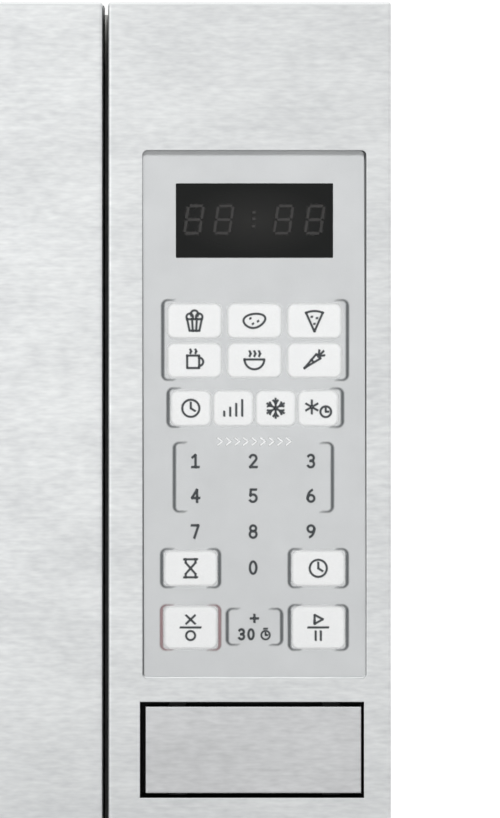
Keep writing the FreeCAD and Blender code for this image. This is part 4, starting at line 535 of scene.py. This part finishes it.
# %% [markdown]
# ## The film
# The film lies a little behind the steel face, with a gap round it and an opening for the display. It
# stands for the plain solid of the keypad. It is glued by hand, so its sides stand 0.16 and 0.29 degrees
# off those of the steel: the gap widens upwards on the right and downwards on the left. A grey backing
# sheet shows in it. The film's edges are eased by a tenth of a millimetre as those of a die-cut sheet are.

# %% Keypad film
SKEW_LEFT, SKEW_RIGHT = math.tan(math.radians(0.16)), math.tan(math.radians(0.29))
FILM_CORNER, FILM_LAP, FILM_SHIFT, FILM_EDGE = 2.0, (0.16, 0.6), -0.06, 0.1 * MM
PANEL_GAP, OPENING_CORNER = 0.6, 2.3
WINDOW_GAP, WINDOW_CORNER = 0.3, 0.4
KEY_ZONES = 0.25 * MM  # the key zones of the solid stand this far above its film
BACKING, BACKING_EDGE = 0.45 * MM, 0.05 * MM

overlay_low, overlay_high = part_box("keypad_overlay")
panel_x = (overlay_low.x + overlay_high.x) / 2 / MM
panel_top = overlay_high.z / MM + PANEL_GAP
film_front, backing_front = overlay_low.y + KEY_ZONES, overlay_high.y - BACKING
film_middle = (overlay_low.z + overlay_high.z) / 2 / MM
film_size = [(high - low) / MM for low, high in zip(overlay_low, overlay_high)]
lens_low, lens_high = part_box("display_lens")
window_middle = (lens_low.z + lens_high.z) / 2 / MM
window_size = [(high - low) / MM + WINDOW_GAP for low, high in zip(lens_low, lens_high)]
window = moved(rounded(window_size[0], window_size[2], WINDOW_CORNER, 2), panel_x, window_middle)

upright = rounded(film_size[0] + 2 * FILM_LAP[0], film_size[2] + 2 * FILM_LAP[1], FILM_CORNER)
askew = [(x - (SKEW_RIGHT if x > 0 else SKEW_LEFT) * z, z) for x, z in upright]
film_outline = moved(askew, panel_x + FILM_SHIFT, film_middle)
film_thickness = backing_front - film_front
film_mesh = plate_mesh("keypad_film", [film_outline, window], film_front, film_thickness, FILM_EDGE)
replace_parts(shown("keypad_film", film_mesh, silver_film, "casing"), "keypad_overlay")

opening = rounded(film_size[0] + 2 * PANEL_GAP, film_size[2] + 2 * PANEL_GAP, OPENING_CORNER)
opening = moved(opening, panel_x, film_middle)
backing_mesh = plate_mesh("film_backing", [opening, window], backing_front, BACKING, BACKING_EDGE)
shown("film_backing", backing_mesh, grey_nylon, "casing")
print("film", [round(v, 1) for v in film_size], "mm")

# %% [markdown]
# ## Lower lip of the opening
# The press rolls the lower edge of the opening inwards. Its round shoulder faces the ceiling and draws a
# fine bright line under the film. The lip is one cross-section swept along the edge and round both
# corners, where it runs out.

# %% Rolled lower lip
LIP_SHOULDER = ((0.0, 0.0), (0.1, 0.05), (0.35, 0.21), (0.65, 0.43), (0.75, 0.6))  # inwards, depth
LIP_RUN_OUT = 0.1


def ring_faces(rings):
    """Four-sided faces between neighbouring rings of point numbers."""
    return [(a[i - 1], a[i], b[i], b[i - 1]) for a, b in zip(rings, rings[1:]) for i in range(len(a))]


film_recess = (film_front - fascia_low.y) / MM
lip_section = [*LIP_SHOULDER, (LIP_SHOULDER[-1][0], film_recess), (0.0, film_recess)]
lower_edge = opening[len(opening) // 2:]
corner_steps = len(lower_edge) // 2
directions = [math.radians(start + 90 * step / (corner_steps - 1))
              for start in (180, 270) for step in range(corner_steps)]
vertices, rings = [], []
for (x, z), angle in zip(lower_edge, directions):
    rings.append(range(len(vertices), len(vertices) + len(lip_section)))
    for inward, depth in lip_section:
        reach = inward * max(-math.sin(angle), LIP_RUN_OUT)
        inner_x, inner_z = x - reach * math.cos(angle), z - reach * math.sin(angle)
        vertices.append((inner_x * MM, fascia_low.y + depth * MM, inner_z * MM))
faces = ring_faces(rings[::-1]) + [tuple(rings[0]), tuple(reversed(rings[-1]))]
shown("opening_lip", point_mesh("opening_lip", vertices, faces), front_steel, "casing")
print("lip", round(film_recess, 2), "mm deep")

# %% [markdown]
# ## Screen inks
# Ink is a thin opaque coat. Where it thins out, the film or the key under it shows through, so the share
# of ink drives the shader's alpha. The mesh of the screen leaves a very fine grain in it.

# %% Screen inks
INK_GRAIN = 0.4 * MM


def print_ink(name, colour, roughness=0.45):
    """Screen ink; the "ink" value of the mesh says how far it covers."""
    material, tree, shader = new_material(name, Base_Color=srgb(colour), Roughness=roughness)
    cover = add(tree, "Attribute", attribute_name="ink").outputs["Fac"]
    thinned = ramp(tree, noise(tree, INK_GRAIN, 2.0), 0.0, 1.0, 0.85, 1.05)
    feed(tree, shader, Alpha=maths(tree, "MULTIPLY", cover, thinned, use_clamp=True))
    return material


def inked(mesh, ink):
    """Gives each point of a mesh its share of ink."""
    mesh.attributes.new("ink", "FLOAT", "POINT").data.foreach_set("value", ink)
    return mesh


grey_ink = print_ink("grey_screen_ink", "#5d6163")
red_ink = print_ink("muted_red_screen_ink", "#9d8082")
dark_ink = print_ink("charcoal_screen_ink", "#3c4043")
white_ink = print_ink("white_screen_ink", "#f5f6f6")
print("inks:", grey_ink.name, red_ink.name, dark_ink.name, white_ink.name)

# %% [markdown]
# ## White keys
# The larger keys are printed white and embossed: the film rises a tenth of a millimetre in a soft cushion.
# The print fades softly into the silver at its rim. Rings of points around each key carry the height and
# the share of white.

# %% Embossed keys
KEY_RADIUS, KEY_RINGS = 3.2, 9
RIM_OUTSIDE, RIM_INSIDE = 1.05, 1.0
FOOT_LIFT, CUSHION_LIFT = 0.01, 0.09
PRESET, FUNCTION, SIDE, START = (25.0, 16.0), (18.5, 16.4), (24.6, 16.3), (24.6, 19.7)
SIDE_COLUMN = 29.8
# each key: place across the panel, drop below its top, size
KEYS = {"preset": [(column * 28.0, 79.5 + line * 18.4, PRESET) for line in (0, 1) for column in (-1, 0, 1)],
        "function": [(column * 19.8, 120.3, FUNCTION) for column in (-1.5, -0.5, 0.5, 1.5)],
        "side": [(column * SIDE_COLUMN, 195.0, SIDE) for column in (-1, 1)],
        "start": [(column * SIDE_COLUMN, 222.6, START) for column in (-1, 1)]}

vertices, faces, ink = [], [], []
for across, drop, (width, height) in [each for group in KEYS.values() for each in group]:
    rings = []
    for k in range(KEY_RINGS):
        step = k / (KEY_RINGS - 1)
        share = step * step * (3 - 2 * step)
        inset = step * (RIM_OUTSIDE + RIM_INSIDE) - RIM_OUTSIDE
        depth = film_front - (FOOT_LIFT + CUSHION_LIFT * share) * MM
        outline = rounded(width - 2 * inset, height - 2 * inset, KEY_RADIUS - inset)
        rings.append(range(len(vertices), len(vertices) + len(outline)))
        vertices += [(x * MM, depth, z * MM) for x, z in moved(outline, panel_x + across, panel_top - drop)]
        ink += [share] * len(outline)
    faces += ring_faces(rings) + [tuple(rings[-1])]
keys_mesh = inked(point_mesh("white_keys", vertices, faces), ink)
keys_mesh.shade_smooth()
shown("white_keys", keys_mesh, white_ink, "casing")
print("keys:", sum(len(group) for group in KEYS.values()))

# %% [markdown]
# ## Ribbons of ink
# A printed line is a flat ribbon. Each of its points has a width and says how much ink it carries, so that
# a line can fade out, and the ink thins at both rims as screen print does. Neighbours lie at slightly
# different depths, so that crossings stay clean.

# %% Ribbon helpers
RIM, THINNEST = 0.5, 0.1
PRINT = 0.03 * MM
LAYER, LAYERS = 0.002 * MM, 19


def same_point(line):
    """Whether a line ends where it starts."""
    return math.dist(line[0][:2], line[-1][:2]) < 1e-6


def ribbon_mesh(name, lines, depth, rim=RIM):
    """Flat lines; each is a list of (x, z, width, ink)."""
    vertices, faces, ink = [], [], []
    for number, line in enumerate(lines):
        first, count = len(vertices), len(line)
        level = depth - LAYER * (number % LAYERS)
        ends = (-2, 1) if same_point(line) else (0, -1)
        for i, (x, z, width, share) in enumerate(line):
            before, after = line[i - 1 if i else ends[0]], line[i + 1 if i < count - 1 else ends[1]]
            along = Vector((after[0] - before[0], after[1] - before[1])).normalized()
            core, whole = max(width - rim, THINNEST) / 2, (width + rim) / 2
            for side, cover in ((-whole, 0), (-core, share), (core, share), (whole, 0)):
                vertices.append(((x - along.y * side) * MM, level, (z + along.x * side) * MM))
                ink.append(cover)
        for i in range(count - 1):
            start = first + 4 * i
            faces += [(start + k, start + k + 1, start + k + 5, start + k + 4) for k in range(3)]
    return inked(point_mesh(name, vertices, faces), ink)


def printed(name, lines, material, ground, rim=RIM):
    """Prints lines as a piece that lies on the ground of the given depth."""
    shown(name, ribbon_mesh(name, lines, ground - PRINT, rim), material, "casing")
    print(name, len(lines), "lines")


print("print stands", PRINT / MM, "mm above the film")

# %% [markdown]
# ## Brackets
# Each group of keys stands between two printed brackets. A bracket is broad and dark along its upright
# side, and fades along its two arms. The stop key has a muted red one.

# %% Printed brackets
BRACKET_RADIUS, BRACKET_ARM, ARM_WIDTH, SIDE_WIDTH, SOFT_RIM = 2.4, 6.5, 0.9, 1.45, 0.8
FADE, ARM_INK, BEND_INK, SIDE_INK = 2, 0.4, 0.56, 0.8
BEND_STEPS = 8
# each pair: place across the panel, drops of its upper and lower arms, half its width
GREY_BRACKETS = ((0.3, 69.8, 107.1, 43.1), (0.4, 111.0, 129.0, 40.7), (-0.5, 136.4, 168.6, 36.9),
                 (-SIDE_COLUMN, 186.0, 203.9, 13.5), (SIDE_COLUMN, 186.0, 203.9, 13.5),
                 (0, 213.9, 230.7, 12.7), (SIDE_COLUMN, 212.2, 233.1, 13.5))
RED_BRACKET = (-SIDE_COLUMN, 212.2, 233.1, 13.6)


def arc(x, z, radius, start, end, steps=16, stretch=1.0):
    """Points along a circle by angles in degrees, or along an oval that is stretched upwards."""
    angles = [math.radians(start + (end - start) * i / steps) for i in range(steps + 1)]
    return [(x + radius * math.cos(a), z + stretch * radius * math.sin(a)) for a in angles]


def bracket(across, high, low, half, side):
    """One bracket; high and low are drops below the top of the panel."""
    radius, end = BRACKET_RADIUS, half - BRACKET_ARM
    tall = (low - high) / 2
    upper = [(end, tall, ARM_WIDTH, 0.0), (end + FADE, tall, ARM_WIDTH, ARM_INK)]
    for i, (x, z) in enumerate(arc(half - radius, tall - radius, radius, 90, 0, BEND_STEPS)):
        share = i / BEND_STEPS
        upper.append((x, z, ARM_WIDTH + (SIDE_WIDTH - ARM_WIDTH) * share,
                      BEND_INK + (SIDE_INK - BEND_INK) * share))
    lower = [(x, -z, width, share) for x, z, width, share in reversed(upper)]
    middle = panel_top - (high + low) / 2
    return [(panel_x + across + side * x, middle + z, width, share) for x, z, width, share in upper + lower]


grey_lines = [bracket(*place, side) for place in GREY_BRACKETS for side in (-1, 1)]
red_lines = [bracket(*RED_BRACKET, side) for side in (-1, 1)]
printed("grey_brackets", grey_lines, grey_ink, film_front, SOFT_RIM)
printed("red_bracket", red_lines, red_ink, film_front, SOFT_RIM)

# %% [markdown]
# ## Digits
# The number keys are plain dark digits on the silver film, drawn with one pen: straight strokes and arcs
# inside a field of 4 by 6.8 mm. The nine is the six turned over. Where a stroke has a sharp corner, it is
# split, and each open end gets a short cap that fades.

# %% Pen strokes
SHARP_CORNER = math.radians(35)
CORNER_CAP = 0.6


def pen_lines(points, width):
    """Ribbons of one pen stroke."""
    parts, part = [], [points[0]]
    for before, here, after in zip(points, points[1:], points[2:]):
        part.append(here)
        if (Vector(after) - Vector(here)).angle(Vector(here) - Vector(before)) > SHARP_CORNER:
            parts.append(part)
            part = [here]
    lines = []
    for number, part in enumerate(parts + [part + [points[-1]]]):
        line = [(x, z, width, 1.0) for x, z in part]
        lines.append(line)
        if same_point(line):
            continue
        for end, following, corner in ((0, 1, number > 0), (-1, -2, number < len(parts))):
            outward = (Vector(part[end]) - Vector(part[following])).normalized()
            for reach, cover in (((width - RIM) / 2, 1.0), ((width + RIM) / 2, 0.0)):
                tip = Vector(part[end]) + outward * (CORNER_CAP if corner else 1) * reach
                line.insert(0 if end == 0 else len(line), (tip.x, tip.y, width, cover))
    return lines


def drawn(strokes, across, drop, pen):
    """Ribbons of pen strokes around a place on the panel."""
    places = [moved(stroke, panel_x + across, panel_top - drop) for stroke in strokes]
    return [line for stroke in places for line in pen_lines(stroke, pen)]


def ring(x, z, radius, stretch=1.0):
    """A whole circle or oval."""
    return arc(x, z, radius, 0, 360, 24, stretch)


print("a ring is", len(pen_lines(ring(0, 0, 1.5), 1.0)), "ribbon")

# %% Number keys
DIGIT_PEN = 1.08
DIGIT_HALF = 2.85
ROW_DROPS = (144.9, 161.1, 177.8, 194.7)
DIGIT_PITCH, DIGIT_SHIFT = 27.0, -0.6

six = [ring(0, -1.25, 1.55), arc(1.3, -1.25, 2.85, 180, 108, 10, 1.4)]
STROKES = {
    "0": [ring(0, 0, 1.5, DIGIT_HALF / 1.5)],
    "1": [[(-1.3, 1.7), (0.1, DIGIT_HALF), (0.1, -DIGIT_HALF)], [(-1.4, -DIGIT_HALF), (1.5, -DIGIT_HALF)]],
    "2": [arc(0, 1.3, 1.5, 160, -40) + [(-1.5, -DIGIT_HALF), (1.6, -DIGIT_HALF)]],
    "3": [arc(-0.1, 1.45, 1.4, 145, -90), arc(-0.1, -1.4, 1.5, 90, -145)],
    "4": [[(0.8, -DIGIT_HALF), (0.8, DIGIT_HALF), (-1.6, -1.1), (1.8, -1.1)]],
    "5": [[(1.3, DIGIT_HALF), (-1.1, DIGIT_HALF), (-1.25, 0.2)], arc(-0.1, -1.15, 1.7, 130, -140)],
    "6": six,
    "7": [[(-1.6, DIGIT_HALF), (1.5, DIGIT_HALF), (-0.4, -DIGIT_HALF)]],
    "8": [ring(0, 1.45, 1.35), ring(0, -1.35, 1.55)],
    "9": [[(-x, -z) for x, z in line] for line in six],
}


def digit_lines(digit, across, drop, scale=1.0):
    """Ribbons of one digit, placed on the panel."""
    strokes = [[(scale * x, scale * z) for x, z in stroke] for stroke in STROKES[digit]]
    return drawn(strokes, across, drop, DIGIT_PEN)


digits = [(str(3 * line + column + 1), (column - 1) * DIGIT_PITCH + DIGIT_SHIFT, ROW_DROPS[line])
          for line in range(3) for column in range(3)] + [("0", DIGIT_SHIFT, ROW_DROPS[3])]
number_lines = [line for digit in digits for line in digit_lines(*digit)]
printed("numbers", number_lines, dark_ink, film_front)

# %% [markdown]
# ## Pictograms
# Each white key carries a small line drawing that anyone can read: food for the preset keys, a clock, a
# power scale and ice crystals for the others, and the usual start, pause and stop marks. They are lines of
# one pen width.

# %% Drawings


def rays(count, inner, outer, turn=90):
    """Straight lines from a centre."""
    angles = [math.radians(turn + 360 * i / count) for i in range(count)]
    return [[(reach * math.cos(a), reach * math.sin(a)) for reach in (inner, outer)] for a in angles]


def crystal(size):
    """Ice crystal with a fork on each arm."""
    lines = rays(6, 0, size)
    for i in range(6):
        tip = math.radians(90 + 60 * i)
        x, z = 0.55 * size * math.cos(tip), 0.55 * size * math.sin(tip)
        for bend in (tip - math.radians(40), tip + math.radians(40)):
            lines.append([(x, z), (x + 0.36 * size * math.cos(bend), z + 0.36 * size * math.sin(bend))])
    return lines


def shifted(lines, x, z):
    """The same lines somewhere else."""
    return [moved(line, x, z) for line in lines]


clock_face = [ring(0, 0, 4.0), [(0, 2.6), (0, 0), (1.9, -1.2)]]
popcorn_tub = [[(-3.4, 0.8), (-2.3, -4.6), (2.3, -4.6), (3.4, 0.8), (-3.4, 0.8)],
               [(-1.1, 0.8), (-0.8, -4.6)], [(1.1, 0.8), (0.8, -4.6)], arc(-2.2, 1.9, 1.5, 200, -20),
               arc(2.2, 1.9, 1.5, 200, -20), arc(0, 3.2, 1.7, 210, -30)]
potato = [[(5.0 * math.cos(a) + 0.5 * math.sin(2 * a), 3.3 * math.sin(a) + 0.5 * math.cos(a))
           for a in (math.radians(12 * i) for i in range(31))],
          [(-2.0, 1.1), (-1.8, 1.2)], [(1.6, -0.2), (1.8, -0.1)], [(-0.8, -1.4), (-0.6, -1.3)]]
pizza_slice = [arc(0, -5.0, 9.6, 114, 66), [(-3.9, 3.8), (0, -5.0), (3.9, 3.8)]] + [
    [(x, z), (x + 0.2, z)] for x, z in ((-1.3, 1.9), (1.1, 1.3), (-0.1, -1.4))]
mug = [[(-3.4, 2.2), (-3.4, -3.6), (2.2, -3.6), (2.2, 2.2), (-3.4, 2.2)], arc(2.2, -0.7, 1.9, 90, -90),
       [(-1.9, 3.4), (-1.5, 4.2), (-1.9, 5.0)], [(0.5, 3.4), (0.9, 4.2), (0.5, 5.0)]]
steam = [(0, 2.0), (0.5, 3.1), (0, 4.2)]
bowl = [arc(0, 0.4, 4.6, 180, 360) + [(-4.6, 0.4)]] + [moved(steam, x, 0) for x in (-2.2, 0, 2.2)]
carrot = [[(-4.6, -3.6), (0.9, 2.9), (2.9, 0.9), (-4.6, -3.6)], [(1.9, 1.9), (4.6, 2.3)],
          [(1.9, 1.9), (2.3, 4.6)], [(1.9, 1.9), (4.2, 4.2)], [(-1.4, 0.2), (-0.5, -0.6)]]
power_scale = [[(-4.2 + 2.8 * i, -3.4), (-4.2 + 2.8 * i, -1.6 + 1.8 * i)] for i in range(4)]
small_clock = shifted([ring(0, 0, 2.5), [(0, 1.5), (0, 0), (1.2, 0)]], 3.6, -1.6)
crystal_clock = shifted(rays(6, 0, 3.0), -2.9, 0.6) + small_clock
hourglass = [[(-3.0, z), (3.0, z)] for z in (4.2, -4.2)] + [
    [(2.3 * side, 4.2), (2.3 * side, 2.6), (-2.3 * side, -2.6), (-2.3 * side, -4.2)] for side in (-1, 1)]
divider = [[(-4.6, 0), (4.6, 0)]]
stop_marks = [[(-2.0, 5.6), (2.0, 1.8)], [(-2.0, 1.8), (2.0, 5.6)]] + divider + [ring(0, -3.8, 2.1)]
start_marks = [[(-1.7, 1.7), (-1.7, 5.9), (2.2, 3.8), (-1.7, 1.7), (-1.7, 3.0)]] + divider + [
    [(x, -5.8), (x, -1.9)] for x in (-1.2, 1.2)]
DRAWINGS = {"preset": (popcorn_tub, potato, pizza_slice, mug, bowl, carrot),
            "function": (clock_face, power_scale, crystal(4.4), crystal_clock),
            "side": (hourglass, clock_face), "start": (stop_marks, start_marks)}
print("drawings:", sum(len(group) for group in DRAWINGS.values()))

# %% Print the drawings on the keys
PEN = 0.95
picture_lines = []
for group, drawings in DRAWINGS.items():
    for (across, drop, size), drawing in zip(KEYS[group], drawings):
        picture_lines += drawn(drawing, across, drop, PEN)
printed("pictograms", picture_lines, dark_ink, film_front - (FOOT_LIFT + CUSHION_LIFT) * MM)

# %% [markdown]
# ## Marks on the bare film
# The framed key without a white cushion adds half a minute: a plus sign, the digits and a stopwatch. Above
# the number keys a row of white chevrons says that they start at once.

# %% Time key and quick-start mark
PLUS_DROP, SECONDS_DROP, STOPWATCH_DROP, QUICK_DROP = 218.4, 225.8, 226.2, 135.8
SMALL_DIGIT, STOPWATCH_PEN, CHEVRON_PEN, CHEVRON_PITCH = 0.8, 0.8, 0.9, 4.0
plus = [[(-1.6, 0), (1.6, 0)], [(0, -1.6), (0, 1.6)]]
stopwatch = [ring(0, 0, 2.0), [(0, 1.1), (0, 0), (0.9, 0)], [(-0.7, 3.0), (0.7, 3.0)]]
add_time = drawn(plus, 0, PLUS_DROP, DIGIT_PEN)
for digit, across in (("3", -6.0), ("0", -1.6)):
    add_time += digit_lines(digit, across, SECONDS_DROP, SMALL_DIGIT)
add_time += drawn(stopwatch, 5.2, STOPWATCH_DROP, STOPWATCH_PEN)
printed("add_time_mark", add_time, dark_ink, film_front)

chevron = [(-1.0, 1.6), (1.0, 0), (-1.0, -1.6)]
chevrons = [moved(chevron, CHEVRON_PITCH * i, 0) for i in range(-4, 5)]
printed("quick_mark", drawn(chevrons, 0, QUICK_DROP, CHEVRON_PEN), white_ink, film_front)

# %% [markdown]
# ## Sleeping digits
# Behind the smoked window the unlit segments of the clock still show faintly. Each digit has seven bars
# and leans to the right by about eight degrees.

# %% Unlit display segments
GHOST_WIDTH, GHOST_HEIGHT, GHOST_BAR, GHOST_CUT = 10.4, 14.4, 1.7, 1.2
GHOST_LEAN = math.tan(math.radians(8.5))
GHOST_PLACES, GHOST_RAISE = (-28.2, -14.3, 13.6, 28.2), 0.5
ghost_ink = print_ink("unlit_segment", "#272625", 0.3)
half_w, half_h = GHOST_WIDTH / 2 - GHOST_BAR, GHOST_HEIGHT / 2 - GHOST_BAR / 2
bars = [[(-half_w + GHOST_CUT, z), (half_w - GHOST_CUT, z)] for z in (-half_h, 0, half_h)]
bars += [[(x, low + GHOST_CUT), (x, low + half_h - GHOST_CUT)]
         for x in (-half_w, half_w) for low in (-half_h, 0)]
colon = [[(x, z), (x + 0.2, z)] for x, z in ((-0.8, 3.4), (-0.4, 0.4), (0.0, -3.1))]
ghosts = [moved(bar, x, 0) for x in GHOST_PLACES for bar in bars] + colon
leaning = [[(x + z * GHOST_LEAN, z) for x, z in bar] for bar in ghosts]
ghost_lines = drawn(leaning, 0, panel_top - window_middle - GHOST_RAISE, GHOST_BAR)
printed("unlit_segments", ghost_lines, ghost_ink, lens_low.y, SOFT_RIM)

# %% [markdown]
# ## Case screws
# The cover and the rear panel are held by small screws with a hexagon head on a flange, as sheet metal is.
# Each one is a stack of rings: the flange is round, the head above it has six flats and an eased top.

# %% Screws round the casing
FLANGE, FLANGE_EASE, FLANGE_HIGH = 4.4, 0.6, 0.8
HEAD_FLATS, HEAD_EASE, HEAD_HIGH = 5.5, 0.4, 2.4
SCREW_POINTS = 24
SCREW_INSET, END_INSET = 9 * MM, 25 * MM
# radius and height of each ring; None stands for the hexagon
SCREW_STACK = ((FLANGE, 0.0), (FLANGE, 0.5 * FLANGE_HIGH), (FLANGE - FLANGE_EASE, FLANGE_HIGH),
               (None, FLANGE_HIGH), (None, HEAD_HIGH - HEAD_EASE), (HEAD_FLATS / 2, HEAD_HIGH))


def screw_ring(radius, high):
    """Points of one ring of a screw that stands upright."""
    points = []
    for i in range(SCREW_POINTS):
        angle = math.tau * i / SCREW_POINTS
        flat = HEAD_FLATS / 2 / math.cos((angle + math.pi / 6) % (math.pi / 3) - math.pi / 6)
        reach = flat if radius is None else radius
        points.append(Vector((reach * math.cos(angle), reach * math.sin(angle), high)) * MM)
    return points


cover_low, cover_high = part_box("outer_cover")
rear_low, rear_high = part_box("rear_panel")
left, right = rear_low.x + SCREW_INSET, rear_high.x - SCREW_INSET
bottom, top = rear_low.z + SCREW_INSET, rear_high.z - SCREW_INSET
rear_spots = [(x, z) for x in (left, (left + right) / 2, right) for z in (bottom, top)]
rear_spots += [(x, (bottom + top) / 2) for x in (left, right)]
spots = [(Vector((0, 1, 0)), Vector((x, rear_high.y, z))) for x, z in rear_spots]
for side, x in ((-1, cover_low.x), (1, cover_high.x)):
    for y in (cover_low.y + END_INSET, (cover_low.y + cover_high.y) / 2, cover_high.y - END_INSET):
        spots.append((Vector((side, 0, 0)), Vector((x, y, cover_low.z + SCREW_INSET))))
vertices, faces = [], []
for facing, place in spots:
    turn = Vector((0, 0, 1)).rotation_difference(facing).to_matrix()
    rings = []
    for radius, high in SCREW_STACK:
        rings.append(range(len(vertices), len(vertices) + SCREW_POINTS))
        vertices += [place + turn @ point for point in screw_ring(radius, high)]
    faces += ring_faces(rings) + [tuple(rings[-1])]
shown("case_screws", point_mesh("case_screws", vertices, faces), zinc_plate, "casing")
print("screws:", len(spots))

# %% [markdown]
# ## Return springs
# Two coil springs push the release plate out, and a third one in the door holds the latch hooks down. The
# wire is round, and the last turn at each end lies closed, so that the spring stands square.

# %% Coil springs
TURNS, TURN_POINTS = 7, 20
BUTTON_WIRE, LATCH_WIRE = 0.5 * MM, 0.45 * MM  # radius of the wire


def spring_piece(name, node, body, along, wire):
    """Springs in the box of a node; along is the axis number."""
    low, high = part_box(node)
    across, length = (along + 1) % 3, high[along] - low[along]
    third = 3 - along - across
    narrow = min(high[across] - low[across], high[third] - low[third])
    radius = narrow / 2 - wire
    rows = {tuple(round(end[k] + sign * narrow / 2, 6) for k in (across, third))
            for end, sign in ((low, 1), (high, -1))}
    curve = bpy.data.curves.new(name, "CURVE")
    curve.dimensions = "3D"
    curve.bevel_depth = wire
    curve.bevel_resolution = 2
    closed = 2 * wire
    pitch = (length - 3 * closed) / (TURNS - 2)
    for row in sorted(rows):
        spline = curve.splines.new("POLY")
        spline.points.add(TURNS * TURN_POINTS)
        for i, point in enumerate(spline.points):
            turn = i / TURN_POINTS
            open_turns = min(max(turn - 1, 0), TURNS - 2)
            rise = closed * (min(turn, 1) + max(turn - TURNS + 1, 0)) + pitch * open_turns
            place = [0.0, 0.0, 0.0]
            place[along] = low[along] + wire + rise
            place[across] = row[0] + radius * math.cos(math.tau * turn)
            place[third] = row[1] + radius * math.sin(math.tau * turn)
            point.co = (*place, 1)
    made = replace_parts(shown(name, meshed(curve), spring_wire, body), node)
    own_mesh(made)
    print(name, len(rows), "of", round(length / MM, 1), "mm")


spring_piece("button_return_springs", "button_springs", "casing", 1, BUTTON_WIRE)
spring_piece("latch_return_spring", "latch_spring", "door", 2, LATCH_WIRE)

# %% [markdown]
# ## Box of the dressed oven
# The dressed oven has to fill the same box as its solids, or it would not fit where they fit.
# This prints its box.

# %% Box of the dressed oven
low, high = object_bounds()
print("box", [round(v, 4) for v in low], [round(v, 4) for v in high])
